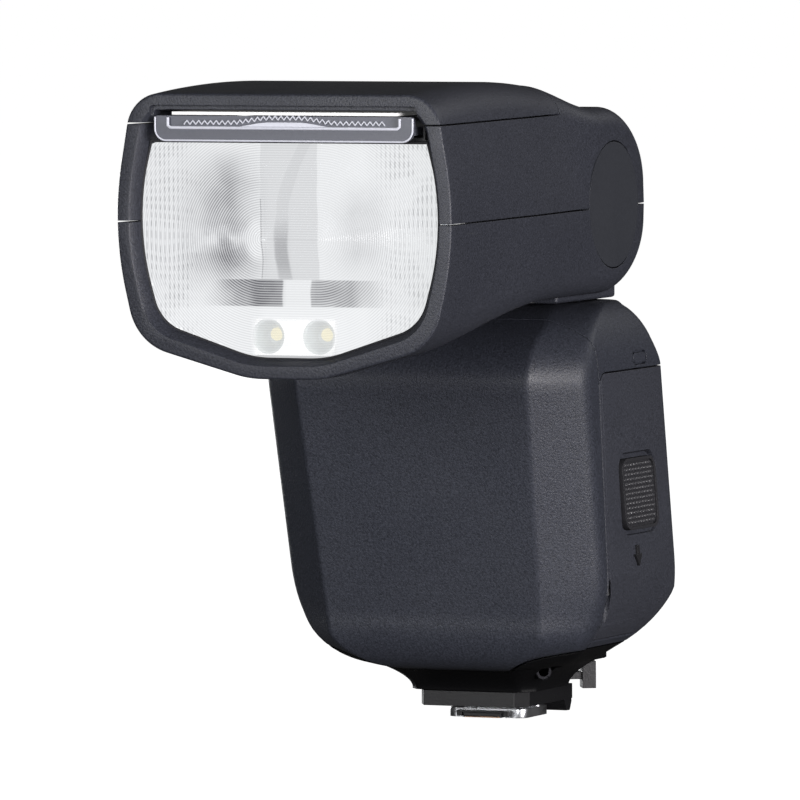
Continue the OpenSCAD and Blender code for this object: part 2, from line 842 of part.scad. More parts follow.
module reflector() {
    heights = [for (i = [-12:12]) i * 14.5 / 12];
    color([0.93, 0.94, 0.96]) difference() {
        translate([-27, 0, 0]) rotate([90, 0, 90]) linear_extrude(54)
            polygon(concat([for (h = heights) [trough(h) + 0, tilt_z - 1.7 + h]],
                [for (i = [24:-1:0]) [min(-89.4, trough(heights[i]) + 2.2), tilt_z - 1.7 + heights[i] * 1.06]]));
        rod_x(2.2, -28, 28, -94.5, tilt_z - 1.7);
    }
}

module flash_tube() {
    color([0.93, 0.95, 0.97, 0.5]) union() {
        rod_x(1.9, -27.5, 27.5, -94.5, tilt_z - 1.7);
        rod_x(0.6, -28.8, 28.8, -94.5, tilt_z - 1.7);
    }
}

module head_screws() {
    color([0.15, 0.15, 0.16]) both_x() {
        translate([30, -56, 94.4]) cylinder(r = 2, h = 0.8);
        translate([30, -56, 95.2]) cylinder(r = 1, h = 3.4);
    }
}

foot_plate();
foot_block();
contact_tongue();
contact_pins();
lock_lever();
lock_pin();
lock_spring();
base_cover();
foot_screws();
front_shell();
rear_shell();
control_panel();
lcd_window();
lcd_module();
control_board();
select_dial();
set_button();
menu_button();
mode_button();
test_button();
power_lever();
terminal_cover();
sync_socket();
battery_bay();
battery_pack();
battery_contacts();
main_board();
main_capacitor();
battery_door();
door_hinge();
door_pin();
door_grip();
bracket_insert();
swivel_bearing();
swivel_tube();
swivel_clip();
neck_shell();
flex_cable();
detent_ball();
detent_spring();
tilt_shafts();
detent_wheel();
side_cap();
release_button();
head_lower_shell();
head_upper_shell();
head_lid();
panel_tray();
wide_panel();
catchlight_card();
fresnel_lens();
led_housing();
led_lamps();
guide_rods();
lead_screw();
zoom_motor();
zoom_carriage();
reflector();
flash_tube();
head_screws();
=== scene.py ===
"""Looks of the speedlight flash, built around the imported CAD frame.

Outlines are worked out in millimetres in the CAD's own frame and turned into metres when a piece is finished.
"""
import json
import math

import bmesh
import bpy
from mathutils import Matrix, Vector


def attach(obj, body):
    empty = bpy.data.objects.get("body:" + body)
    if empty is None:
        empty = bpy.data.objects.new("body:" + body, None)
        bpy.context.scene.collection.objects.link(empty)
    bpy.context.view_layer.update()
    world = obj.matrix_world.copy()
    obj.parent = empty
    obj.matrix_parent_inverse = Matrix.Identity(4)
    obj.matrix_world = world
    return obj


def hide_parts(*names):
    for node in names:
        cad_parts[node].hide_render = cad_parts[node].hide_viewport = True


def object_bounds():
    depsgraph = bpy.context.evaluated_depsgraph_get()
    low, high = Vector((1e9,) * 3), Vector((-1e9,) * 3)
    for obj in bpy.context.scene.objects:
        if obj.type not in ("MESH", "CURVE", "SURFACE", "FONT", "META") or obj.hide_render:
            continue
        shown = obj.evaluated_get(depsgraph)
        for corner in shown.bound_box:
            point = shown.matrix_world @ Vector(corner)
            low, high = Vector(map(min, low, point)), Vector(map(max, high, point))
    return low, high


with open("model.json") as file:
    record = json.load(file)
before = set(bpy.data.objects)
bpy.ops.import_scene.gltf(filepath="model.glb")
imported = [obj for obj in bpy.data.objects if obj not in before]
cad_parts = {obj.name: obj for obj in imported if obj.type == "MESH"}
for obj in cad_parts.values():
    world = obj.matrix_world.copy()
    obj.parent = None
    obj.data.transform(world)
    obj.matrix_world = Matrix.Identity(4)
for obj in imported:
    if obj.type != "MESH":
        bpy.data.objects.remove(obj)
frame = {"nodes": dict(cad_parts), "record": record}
cad_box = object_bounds()
nodes = frame["nodes"]
MM = 0.001

# ---------------------------------------------------------------- driving dimensions, in mm
BODY_HALF_W = 38.3
BODY_TOP = 92.6
WALL = 2.2
HEAD_HALF_W = 39.1
HEAD_TOP = 142.6
EAR_R = 21.3
SEAM = 0.34
TILT_Y, TILT_Z = -18.4, 114.2
NECK_R, NECK_HALF_W, EAR_GAP = 20.6, 27.0, 0.4
SLOPE = 0.228
LEAN = math.atan(SLOPE)
PANEL_TOP, PANEL_LOW, BODY_LOW = 76.4, 24.0, 12.0
BACK_TOP, SHOULDER_Z, BACK_LOW = 78.6, 79.0, 28.0
HEAD_FRONT, HEAD_SPLIT = -116.0, 113.7
LID_SPLIT, LID_BACK = 134.6, -43.0
SLOT_TOP = 137.5
LENS_TOP, LENS_Y, RIM = 130.6, -112.6, 4.1
DOOR_TOP, DOOR_SIDE_X, DOOR_SLOPE = 78.1, 32.5, 0.156
DOOR_SEAM_Y, DOOR_SEAM_Z = -35.0, 75.4
HINGE_X, HINGE_BACK, HINGE_R = 36.5, 1.3, 1.1
HINGE_SIDE_TILT = math.radians(1.3)


# ---------------------------------------------------------------- numbers and outlines
def mix(a, b, t):
    return a + (b - a) * t


def part_way(v, v0, v1):
    return min(1.0, max(0.0, (v - v0) / (v1 - v0)))


def ease(v, v0, v1):
    return (1 - math.cos(math.pi * part_way(v, v0, v1))) / 2


def bow(u, power):
    """Quarter of a superellipse: 1 at u = 0 and 0 at u = 1."""
    return max(0.0, 1 - min(1.0, max(0.0, u)) ** power) ** (1 / power)


def steps(start, end, count):
    return [mix(start, end, i / count) for i in range(count + 1)]


def corner_arc(a, p, b, r, n):
    """Arc of radius r that rounds corner p between its neighbours a and b."""
    a, p, b = Vector(a), Vector(p), Vector(b)
    u, v = (a - p).normalized(), (b - p).normalized()
    half = math.acos(max(-1.0, min(1.0, u.dot(v)))) / 2
    centre = p + (u + v).normalized() * (r / math.sin(half))
    start = p + u * (r / math.tan(half)) - centre
    turn = -math.copysign(math.pi - 2 * half, u.x * v.y - u.y * v.x)
    return [centre + Matrix.Rotation(turn * i / n, 2) @ start for i in range(n + 1)]


def rounded(corners, n=10):
    """Closed outline from corners (x, y, radius)."""
    out = []
    for i, corner in enumerate(corners):
        before, after = corners[i - 1], corners[(i + 1) % len(corners)]
        out += corner_arc(before[:2], corner[:2], after[:2], corner[2], n)
    return out


def both_sides(corners):
    return corners + [(-x, y, r) for x, y, r in reversed(corners)]


def round_rect(x0, y0, x1, y1, r, n=8):
    return rounded([(x0, y0, r), (x1, y0, r), (x1, y1, r), (x0, y1, r)], n)


# ---------------------------------------------------------------- mesh work, in mm
def new_object(verts, faces, name="tool"):
    mesh = bpy.data.meshes.new(name)
    mesh.from_pydata([tuple(v) for v in verts], [], faces)
    mesh.validate()
    obj = bpy.data.objects.new(name, mesh)
    bpy.context.scene.collection.objects.link(obj)
    return obj


def loft(rings):
    """Solid through rings that all have the same number of points."""
    n, last = len(rings[0]), len(rings) - 1
    verts = [p for ring in rings for p in ring]
    faces = [tuple(reversed(range(n))), tuple(last * n + i for i in range(n))]
    for k in range(last):
        for i in range(n):
            j = (i + 1) % n
            faces.append((k * n + i, k * n + j, (k + 1) * n + j, (k + 1) * n + i))
    return outward(new_object(verts, faces))


def outward(obj):
    """Turns a closed mesh so that its faces look outwards."""
    bm = bmesh.new()
    bm.from_mesh(obj.data)
    bmesh.ops.recalc_face_normals(bm, faces=bm.faces)
    if bm.calc_volume(signed=True) < 0:
        bmesh.ops.reverse_faces(bm, faces=bm.faces)
    bm.to_mesh(obj.data)
    bm.free()
    return obj


def prism(outline, plane, low, high):
    """Outline (two coordinates) drawn out along the third axis from low to high."""
    place = {
        "z": lambda p, t: (p[0], p[1], t),
        "y": lambda p, t: (p[0], t, p[1]),
        "x": lambda p, t: (t, p[0], p[1]),
    }[plane]
    return loft([[place(p, t) for p in outline] for t in (low, high)])


def box(low, high):
    corners = [(low[0], low[1]), (high[0], low[1]), (high[0], high[1]), (low[0], high[1])]
    return prism(corners, "z", low[2], high[2])


def cylinder(start, end, r, n=72, r_end=None):
    """Round bar between two points, or a cone when r_end is given."""
    start, end = Vector(start), Vector(end)
    turn = (end - start).to_track_quat("Z", "Y").to_matrix()
    ring = [Vector((math.cos(2 * math.pi * i / n), math.sin(2 * math.pi * i / n), 0)) for i in range(n)]
    radii = (r, r if r_end is None else r_end)
    return loft([[at + turn @ (v * radius) for v in ring] for at, radius in zip((start, end), radii)])


def boolean(target, tool, operation="DIFFERENCE", keep_tool=False):
    modifier = target.modifiers.new("boolean", "BOOLEAN")
    modifier.operation = operation
    modifier.solver = "EXACT"
    modifier.object = tool
    graph = bpy.context.evaluated_depsgraph_get()
    mesh = bpy.data.meshes.new_from_object(target.evaluated_get(graph))
    target.modifiers.clear()
    target.data = mesh
    if not keep_tool:
        bpy.data.objects.remove(tool)
    return target


def cut(target, *tools):
    for tool in tools:
        boolean(target, tool)
    return target


def common(target, *tools):
    for tool in tools:
        boolean(target, tool, "INTERSECT")
    return target


def joined(target, *tools):
    for tool in tools:
        boolean(target, tool, "UNION")
    return target


def copy_of(obj):
    twin = obj.copy()
    twin.data = obj.data.copy()
    bpy.context.scene.collection.objects.link(twin)
    return twin


def placed(obj, matrix):
    obj.data.transform(matrix)
    return obj


def drop(*objects):
    for obj in objects:
        bpy.data.objects.remove(obj)


def finish_piece(obj, name, body, material, replaces=(), sharp=32, bevel=0.0):
    """Turns a mesh in mm into a named piece in metres that rides on a body."""
    obj.name = name
    obj.data.name = name
    obj.data.transform(Matrix.Scale(MM, 4))
    obj.data.materials.clear()
    obj.data.materials.append(material)
    smooth(obj, sharp)
    if bevel:
        soften(obj, bevel)
    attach(obj, body)
    if replaces:
        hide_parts(*replaces)
    return obj


def smooth(obj, sharp):
    obj.data.shade_smooth()
    obj.data.set_sharp_from_angle(angle=math.radians(sharp))


def soften(obj, width, angle=35, segments=2):
    modifier = obj.modifiers.new("soft_edges", "BEVEL")
    modifier.width = width * MM
    modifier.segments = segments
    modifier.limit_method = "ANGLE"
    modifier.angle_limit = math.radians(angle)
    modifier.harden_normals = True
    return obj


# ---------------------------------------------------------------- materials
class Shader:
    """Small helper that writes a node tree line by line."""

    def __init__(self, name):
        self.material = bpy.data.materials.new(name)
        self.material.use_nodes = True
        self.tree = self.material.node_tree
        self.tree.nodes.clear()
        self.out = self.add("ShaderNodeOutputMaterial")

    def add(self, kind, **settings):
        node = self.tree.nodes.new(kind)
        for key, value in settings.items():
            if hasattr(node, key):
                setattr(node, key, value)
            else:
                node.inputs[key.replace("_", " ")].default_value = value
        return node

    def link(self, source, target):
        self.tree.links.new(source, target)

    def place(self):
        return self.add("ShaderNodeTexCoord").outputs["Object"]

    def noise(self, scale, detail=2.0, rough=0.5):
        node = self.add("ShaderNodeTexNoise")
        node.inputs["Scale"].default_value = scale
        node.inputs["Detail"].default_value = detail
        node.inputs["Roughness"].default_value = rough
        self.link(self.place(), node.inputs["Vector"])
        return node.outputs["Fac"]

    def remap(self, value, low, high, from_low=0.3, from_high=0.7):
        node = self.add("ShaderNodeMapRange")
        node.inputs["From Min"].default_value = from_low
        node.inputs["From Max"].default_value = from_high
        node.inputs["To Min"].default_value = low
        node.inputs["To Max"].default_value = high
        self.link(value, node.inputs["Value"])
        return node.outputs["Result"]

    def blend(self, factor, a, b):
        node = self.add("ShaderNodeMix", data_type="RGBA")
        node.inputs["A"].default_value = (*a, 1)
        node.inputs["B"].default_value = (*b, 1)
        self.link(factor, node.inputs["Factor"])
        return node.outputs["Result"]

    def math(self, operation, a, b):
        node = self.add("ShaderNodeMath", operation=operation)
        for socket, value in zip(node.inputs, (a, b)):
            if isinstance(value, (int, float)):
                socket.default_value = value
            else:
                self.link(value, socket)
        return node.outputs[0]

    def bump(self, height, strength, distance, normal=None):
        node = self.add("ShaderNodeBump")
        node.inputs["Strength"].default_value = strength
        node.inputs["Distance"].default_value = distance
        self.link(height, node.inputs["Height"])
        if normal is not None:
            self.link(normal, node.inputs["Normal"])
        return node.outputs["Normal"]

    def rounded_edges(self, radius):
        node = self.add("ShaderNodeBevel", samples=4)
        node.inputs["Radius"].default_value = radius
        return node.outputs["Normal"]

    def edge_wear(self, radius):
        """1 on edges, 0 on faces: how far the rounded normal leans away from the true one."""
        true_normal = self.add("ShaderNodeNewGeometry").outputs["Normal"]
        dot = self.add("ShaderNodeVectorMath", operation="DOT_PRODUCT")
        self.link(self.rounded_edges(radius), dot.inputs[0])
        self.link(true_normal, dot.inputs[1])
        return self.remap(dot.outputs["Value"], 1, 0, 0.75, 0.99)


def plastic(name, color, roughness=0.5, grain=2600, depth=0.5, speckle=0.3, wear=0.35, edge=0.25, sheen=0.35):
    """Moulded plastic: fine grain in relief and colour, patches of polish, and paler rubbed edges."""
    s = Shader(name)
    base = s.add("ShaderNodeBsdfPrincipled")
    fine = s.noise(grain, 3.0, 0.6)
    patch = s.noise(55, 2.0)
    dark = tuple(c * (1 - speckle) for c in color)
    pale = tuple(min(1.0, c * (1 + speckle) + 0.004 * speckle) for c in color)
    tint = s.blend(s.remap(fine, 0, 1), dark, pale)
    worn = s.add("ShaderNodeMix", data_type="RGBA")
    worn.inputs["B"].default_value = (*[min(1.0, c * 1.7 + 0.02) for c in color], 1)
    s.link(tint, worn.inputs["A"])
    wear_mask = s.math("MULTIPLY", s.edge_wear(edge * MM), s.remap(s.noise(420, 3.0), 0, wear, 0.35, 0.65))
    s.link(wear_mask, worn.inputs["Factor"])
    s.link(worn.outputs["Result"], base.inputs["Base Color"])
    rough = s.math("ADD", s.remap(patch, roughness - 0.04, roughness + 0.04), s.remap(fine, -0.04, 0.05))
    s.link(rough, base.inputs["Roughness"])
    base.inputs["Specular IOR Level"].default_value = sheen
    s.link(s.bump(fine, depth, 0.00016, s.rounded_edges(edge * MM)), base.inputs["Normal"])
    s.link(base.outputs["BSDF"], s.out.inputs["Surface"])
    return s.material


def metal(name, color, roughness=0.3, brush=(1, 60, 1), scratches=900):
    """Plated or turned metal with fine brushing and dull patches."""
    s = Shader(name)
    base = s.add("ShaderNodeBsdfPrincipled")
    base.inputs["Metallic"].default_value = 1
    mapping = s.add("ShaderNodeMapping")
    mapping.inputs["Scale"].default_value = brush
    s.link(s.place(), mapping.inputs["Vector"])
    lines = s.add("ShaderNodeTexNoise")
    lines.inputs["Scale"].default_value = scratches
    lines.inputs["Detail"].default_value = 3
    s.link(mapping.outputs["Vector"], lines.inputs["Vector"])
    fine = lines.outputs["Fac"]
    dull = s.noise(140, 3.0)
    s.link(s.blend(s.remap(dull, 0, 1), tuple(c * 0.8 for c in color), color), base.inputs["Base Color"])
    rough = s.math("ADD", s.remap(dull, roughness - 0.06, roughness + 0.1), s.remap(fine, -0.05, 0.08))
    s.link(rough, base.inputs["Roughness"])
    s.link(s.bump(fine, 0.25, 0.00002, s.rounded_edges(0.00015)), base.inputs["Normal"])
    s.link(base.outputs["BSDF"], s.out.inputs["Surface"])
    return s.material


def clear_plastic(name, tint, haze, roughness=0.12, glow=0.0):
    """Clear or frosted moulding that lets light and shadow rays through."""
    s = Shader(name)
    body = s.add("ShaderNodeBsdfPrincipled")
    fine = s.noise(1500, 2.0)
    s.link(s.blend(s.remap(fine, 0, 1), tuple(c * 0.93 for c in tint), tint), body.inputs["Base Color"])
    s.link(s.remap(s.noise(90, 2.0), roughness, roughness + 0.06), body.inputs["Roughness"])
    s.link(s.bump(fine, 0.15, 0.00002, s.rounded_edges(0.0002)), body.inputs["Normal"])
    body.inputs["Emission Color"].default_value = (*tint, 1)
    body.inputs["Emission Strength"].default_value = glow
    see_through = s.add("ShaderNodeBsdfTransparent")
    see_through.inputs["Color"].default_value = (*[0.5 + c / 2 for c in tint], 1)
    mixed = s.add("ShaderNodeMixShader")
    ray = s.add("ShaderNodeLightPath").outputs["Is Shadow Ray"]
    s.link(s.math("MAXIMUM", s.math("MULTIPLY", ray, 0.92), 1 - haze), mixed.inputs["Fac"])
    s.link(body.outputs["BSDF"], mixed.inputs[1])
    s.link(see_through.outputs["BSDF"], mixed.inputs[2])
    s.link(mixed.outputs["Shader"], s.out.inputs["Surface"])
    return s.material


def ribbed(name):
    """Ribbed lens with painted light. Instead of breaking up what lies behind it, it glows for camera rays with
    painted tones that follow the lens itself:
    grey rings of painted shade at the left, a white spot of painted highlight, a painted grey band that leans to the
    right, and a darker zone of painted shade over the lamps."""
    s = Shader(name)
    split = s.add("ShaderNodeSeparateXYZ")
    s.link(s.place(), split.inputs[0])
    x, z = split.outputs["X"], split.outputs["Z"]
    wobble = s.remap(s.noise(140, 1.0), -0.0003, 0.0003)
    x = s.math("ADD", x, wobble)
    up = s.math("SUBTRACT", z, 0.110)

    def window(value, low, high, soft):
        """1 between low and high, 0 outside, with soft edges; all in mm."""
        rising = s.remap(value, 0, 1, (low - soft) * MM, (low + soft) * MM)
        falling = s.remap(value, 1, 0, (high - soft) * MM, (high + soft) * MM)
        return s.math("MULTIPLY", rising, falling)

    def product(*values):
        total = values[0]
        for value in values[1:]:
            total = s.math("MULTIPLY", total, value)
        return total

    # Painted shade and painted highlight: zones that darken or lighten the lens colour
    lean = s.math("MULTIPLY", s.math("MULTIPLY", up, up), 14.0)
    from_band = s.math("ABSOLUTE", s.math("SUBTRACT", s.math("ADD", x, 0.0022), lean), 0)
    band = product(s.remap(from_band, 1, 0, 0.0013, 0.0022), window(z, 101.6, 131, 0.2))
    band_dark = product(band, s.remap(s.math("ABSOLUTE", s.math("ADD", up, 0.003), 0), 0.85, 0.4, 0.002, 0.008))
    line = product(window(x, -6.65, -6.4, 0.12), window(z, 101.7, 118.8, 0.3))
    spot_x = s.math("ADD", x, 0.0078)
    spot = s.math("SQRT", s.math("ADD", s.math("MULTIPLY", spot_x, spot_x),
                                 s.math("MULTIPLY", s.math("MULTIPLY", up, up), 0.28)), 0)
    spot = product(s.remap(spot, 1, 0, 0.0017, 0.003), s.remap(x, 1, 0, -0.0067, -0.0064))
    painted_highlight_streak = product(s.remap(s.math("ABSOLUTE", up, 0), 1, 0, 0.0005, 0.0035),
                            s.remap(s.noise(260, 2.0), 0.2, 1.0, 0.35, 0.6))
    left = product(window(x, -22, -9.0, 5.0), window(z, 101.6, 126, 4.0))
    left_low = product(window(x, -18, -9.5, 3.0), window(z, 102.5, 107.5, 2.0))
    right = product(window(x, 11, 20, 4.0), window(z, 103, 120, 4.0))
    under = product(window(z, 95.9, 101.6, 0.12), window(x, -17, 18, 4),
                    s.math("SUBTRACT", 1.0, window(x, -1.9, 4.8, 0.2)))
    cloud = s.remap(s.noise(85, 2.0), 0.25, 1.0, 0.35, 0.65)

    middle = product(window(x, -6.6, 6.5, 0.1), window(z, 101.6, 131, 0.2))
    shade = s.math("MAXIMUM", s.math("MULTIPLY", band_dark, 0.52), s.math("MULTIPLY", middle, 0.15))
    for zone, depth in ((left, 0.42), (left_low, 0.36), (right, 0.22), (under, 0.5)):
        shade = s.math("MAXIMUM", shade, s.math("MULTIPLY", s.math("MULTIPLY", zone, cloud), depth))
    shade = s.math("SUBTRACT", shade, s.math("MULTIPLY", s.math("MULTIPLY", left, painted_highlight_streak), 0.36))
    shade = s.math("ADD", shade, s.math("MULTIPLY", window(z, 96, 131, 1), 0.05))
    shade = s.math("MULTIPLY", shade, s.math("SUBTRACT", 1.0, spot))
    shade = s.math("MAXIMUM", shade, s.math("MULTIPLY", line, 0.55))

    # Painted shade on the flanks of the rings, and upright ribs painted as light and dark lines at both ends
    past_line = s.math("MAXIMUM", s.math("SUBTRACT", s.math("ABSOLUTE", split.outputs["X"], 0), 0.0064), 0)
    from_middle = s.math("SUBTRACT", split.outputs["Z"], 0.1101)
    reach = s.math("SQRT", s.math("ADD", s.math("MULTIPLY", past_line, past_line),
                                  s.math("MULTIPLY", from_middle, from_middle)), 0)
    ring = s.math("SINE", s.math("MULTIPLY", reach, 2 * math.pi / 0.00052), 0)
    flank_shade = s.remap(ring, 0, 1, -0.5, 0.9)
    ring_depth = s.math("ADD", 0.2, s.math("MULTIPLY", s.math("MAXIMUM", left, under), 0.3))
    ring_depth = s.math("SUBTRACT", ring_depth, s.math("MULTIPLY", window(x, -6.5, 18, 1.0), 0.08))
    ends = s.remap(s.math("ABSOLUTE", x, 0), 0, 1, 0.019, 0.024)
    upright = s.math("SINE", s.math("MULTIPLY", split.outputs["X"], 2 * math.pi / 0.00105), 0)
    slant = s.math("ADD", split.outputs["Z"], s.remap(s.noise(60, 1.0), 0, 0.004))
    dashes = s.math("SINE", s.math("MULTIPLY", slant, 2 * math.pi / 0.0019), 0)
    upright = product(s.remap(upright, 0, 1, 0.1, 0.9), ends, s.remap(dashes, 0.3, 1, -0.9, 0.2),
                      s.remap(s.noise(190, 3.0), 0.1, 1.0, 0.4, 0.6))
    lines = s.math("ADD", s.math("MULTIPLY", flank_shade, ring_depth), s.math("MULTIPLY", upright, 0.34))
    tone = s.math("SUBTRACT", s.math("SUBTRACT", 1.0, shade), lines)
    color = s.blend(tone, (0.02, 0.02, 0.03), (0.86, 0.875, 0.885))

    base = s.add("ShaderNodeBsdfPrincipled")
    base.inputs["Base Color"].default_value = (0.05, 0.05, 0.055, 1)
    base.inputs["Roughness"].default_value = 0.16
    s.link(s.bump(s.noise(900, 2.0), 0.1, 0.00002), base.inputs["Normal"])
    light_path = s.add("ShaderNodeLightPath")
    # Painted light: the lens glows with its painted tones, fully for camera rays and faintly for other rays
    s.link(color, base.inputs["Emission Color"])
    s.link(s.remap(light_path.outputs["Is Camera Ray"], 0.1, 1.0, 0, 1), base.inputs["Emission Strength"])
    see_through = s.add("ShaderNodeBsdfTransparent")
    mixed = s.add("ShaderNodeMixShader")
    openness = s.math("ADD", 0.1, s.math("MULTIPLY", product(window(x, -8.8, 10.2, 0.7), window(z, 84, 93.2, 0.5)), 0.5))
    s.link(s.math("MAXIMUM", s.math("MULTIPLY", light_path.outputs["Is Shadow Ray"], 0.92), openness),
           mixed.inputs["Fac"])
    s.link(base.outputs["BSDF"], mixed.inputs[1])
    s.link(see_through.outputs["BSDF"], mixed.inputs[2])
    s.link(mixed.outputs["Shader"], s.out.inputs["Surface"])
    return s.material


def glowing(name, color, strength, roughness=0.3, metallic=0.0, grain=600):
    """Bright moulding or reflector with painted light: it glows by itself, standing in for the light which falls in
    through the lens.
    """
    s = Shader(name)
    base = s.add("ShaderNodeBsdfPrincipled")
    base.inputs["Metallic"].default_value = metallic
    fine = s.noise(grain, 2.0)
    tint = s.blend(s.remap(fine, 0, 1), tuple(c * 0.92 for c in color), color)
    s.link(tint, base.inputs["Base Color"])
    s.link(tint, base.inputs["Emission Color"])
    base.inputs["Emission Strength"].default_value = strength
    s.link(s.remap(fine, roughness - 0.05, roughness + 0.08), base.inputs["Roughness"])
    s.link(s.bump(fine, 0.15, 0.00003), base.inputs["Normal"])
    s.link(base.outputs["BSDF"], s.out.inputs["Surface"])
    return s.material


looks = {
    "body_casing": plastic("body_casing", (0.025, 0.0275, 0.037), 0.44, grain=2300, depth=0.6, speckle=0.4),
    "head_casing": plastic("head_casing", (0.026, 0.028, 0.037), 0.44, grain=2300, depth=0.6, speckle=0.4),
    "door_plastic": plastic("door_plastic", (0.030, 0.032, 0.041), 0.48, grain=2300, depth=0.6, speckle=0.4),
    "collar_plastic": plastic("collar_plastic", (0.003, 0.003, 0.0035), 0.45, depth=0.2, speckle=0.15, sheen=0.12),
    "foot_plastic": plastic("foot_plastic", (0.006, 0.006, 0.007), 0.4, depth=0.25, speckle=0.2),
    "lever_plastic": plastic("lever_plastic", (0.014, 0.014, 0.016), 0.45, depth=0.3),
    "cap_plastic": plastic("cap_plastic", (0.022, 0.024, 0.030), 0.6, depth=0.2, speckle=0.12),
    "panel_plastic": plastic("panel_plastic", (0.012, 0.012, 0.014), 0.28, 3200, 0.12, 0.1),
    "key_plastic": plastic("key_plastic", (0.04, 0.04, 0.044), 0.5, depth=0.3),
    "lamp_key": plastic("lamp_key", (0.5, 0.16, 0.03), 0.35, depth=0.1, speckle=0.1),
    "rubber": plastic("rubber", (0.02, 0.02, 0.023), 0.62, 3400, 0.3, 0.2, sheen=0.25),
    "display_glass": clear_plastic("display_glass", (0.3, 0.34, 0.33), 0.16, 0.05),
    "display": plastic("display", (0.16, 0.19, 0.17), 0.3, 1200, 0.02, 0.05),
    "circuit_board": plastic("circuit_board", (0.02, 0.12, 0.05), 0.35, 900, 0.3, 0.3),
    "capacitor_sleeve": plastic("capacitor_sleeve", (0.03, 0.035, 0.12), 0.3, 800, 0.1, 0.1),
    "battery_wrap": plastic("battery_wrap", (0.07, 0.08, 0.09), 0.35, 800, 0.1, 0.15),
    "inner_plastic": plastic("inner_plastic", (0.02, 0.02, 0.023), 0.5, depth=0.3),
    "steel": metal("steel", (0.62, 0.62, 0.64), 0.3),
    "shoe_steel": metal("shoe_steel", (0.72, 0.73, 0.76), 0.26),
    "spring_steel": metal("spring_steel", (0.5, 0.5, 0.5), 0.35),
    "bearing_metal": metal("bearing_metal", (0.55, 0.55, 0.56), 0.35),
    "gold_contact": metal("gold_contact", (0.85, 0.62, 0.25), 0.25),
    "copper_contact": metal("copper_contact", (0.78, 0.43, 0.24), 0.3),
    "flex_film": plastic("flex_film", (0.5, 0.22, 0.04), 0.3, 900, 0.1, 0.1),
    # white_plastic and card_plastic glow by themselves: painted light
    "white_plastic": glowing("white_plastic", (0.9, 0.9, 0.89), 0.35, 0.35),
    "card_plastic": glowing("card_plastic", (0.85, 0.85, 0.84), 0.05, 0.4),
    "frosted_plastic": clear_plastic("frosted_plastic", (0.10, 0.105, 0.13), 0.8, 0.28),
    "lens_plastic": ribbed("lens_plastic"),
    # reflector_metal glows by itself: painted light
    "reflector_metal": glowing("reflector_metal", (0.8, 0.81, 0.83), 0.25, 0.22, 0.8),
    "tube_glass": clear_plastic("tube_glass", (0.9, 0.92, 0.95), 0.5, 0.05),
    # lamp_phosphor glows by itself: painted light, like the other pieces behind the lens
    "lamp_phosphor": glowing("lamp_phosphor", (0.85, 0.7, 0.22), 0.35, 0.4, grain=2500),
    "motor_metal": metal("motor_metal", (0.5, 0.5, 0.52), 0.3),
    "brass_wheel": metal("brass_wheel", (0.65, 0.52, 0.28), 0.3),
}
dark_metal = metal("dark_metal", (0.015, 0.015, 0.017), 0.5)
# Pale edges of the frosted panel glow by themselves: painted highlight
frosted_edge_glow = glowing("frosted_edge_glow", (0.5, 0.51, 0.57), 0.12, 0.35, grain=1500)
cup_glass = clear_plastic("cup_glass", (0.42, 0.47, 0.46), 0.55, 0.15)
polished_rubber = plastic("polished_rubber", (0.03, 0.03, 0.034), 0.36, 3400, 0.3, 0.2, sheen=0.6)
printed_mark = plastic("printed_mark", (0.012, 0.012, 0.014), 0.5, depth=0.1, speckle=0.1)


# ---------------------------------------------------------------- body shape
def panel_y(z):
    return -50.07 + (PANEL_TOP - z) * SLOPE


def back_y(z):
    return 3.9 + (BACK_TOP - z) * SLOPE


def body_front_y(z):
    if z > PANEL_TOP:
        return mix(-20.5, panel_y(PANEL_TOP), bow((z - PANEL_TOP) / (BODY_TOP - PANEL_TOP), 2))
    if z > PANEL_LOW:
        return panel_y(z)
    return mix(-27.5, panel_y(PANEL_LOW), bow((PANEL_LOW - z) / (PANEL_LOW - BODY_LOW), 2))


def body_back_y(z):
    bend = SHOULDER_Z + 5
    if z > bend:
        return mix(-1.5, back_y(bend), bow((z - bend) / (BODY_TOP - bend), 2))
    if z > BACK_LOW:
        return back_y(z)
    return mix(-8, back_y(BACK_LOW), bow((BACK_LOW - z) / (BACK_LOW - BODY_LOW), 2))


def body_side_x(z):
    straight = BODY_HALF_W - (76 - min(z, SHOULDER_Z)) * 0.022
    if z > SHOULDER_Z:
        return mix(31, straight, bow((z - SHOULDER_Z) / (BODY_TOP - SHOULDER_Z), 1.8))
    if z > 36:
        return straight
    return mix(16, straight, bow((36 - z) / (36 - BODY_LOW), 2.4))


def body_ring(z, inset=0.0):
    """Outline of the body at height z, moved in by inset."""
    front, back = body_front_y(z) + inset, body_back_y(z) - inset
    depth = back - front
    side = body_side_x(z) - inset
    panel = min(27.45 - (76 - z) * 0.041, side - 8) - inset * 0.4
    shift = min(8.5, depth * 0.3)
    tail = min(5 + max(0, BACK_LOW - z, (z - SHOULDER_Z) * 0.57), depth * 0.4)
    crease = min(2.2, depth * 0.15)
    corners = both_sides([(panel, front, crease), (side, front + shift, min(5, depth * 0.15)), (side, back, tail)])
    return [(p.x, p.y, z) for p in rounded(corners)]


low_heights = steps(BODY_LOW + 0.1, 15, 6) + steps(16, 38, 16)[0:]
top_heights = [mix(PANEL_TOP, BODY_TOP, math.sin(math.radians(a))) for a in range(0, 86, 4)] + [BODY_TOP - 0.02]
body_heights = low_heights + steps(42, 74, 8) + top_heights


def body_outside():
    return loft([body_ring(z) for z in body_heights])


def body_cavity():
    heights = steps(14.5, 38, 18) + steps(42, 74, 8) + steps(76.4, 90.2, 9)
    return loft([body_ring(z, WALL) for z in heights])


def seam_plane_y(z):
    return DOOR_SEAM_Y + (DOOR_SEAM_Z - z) * DOOR_SLOPE


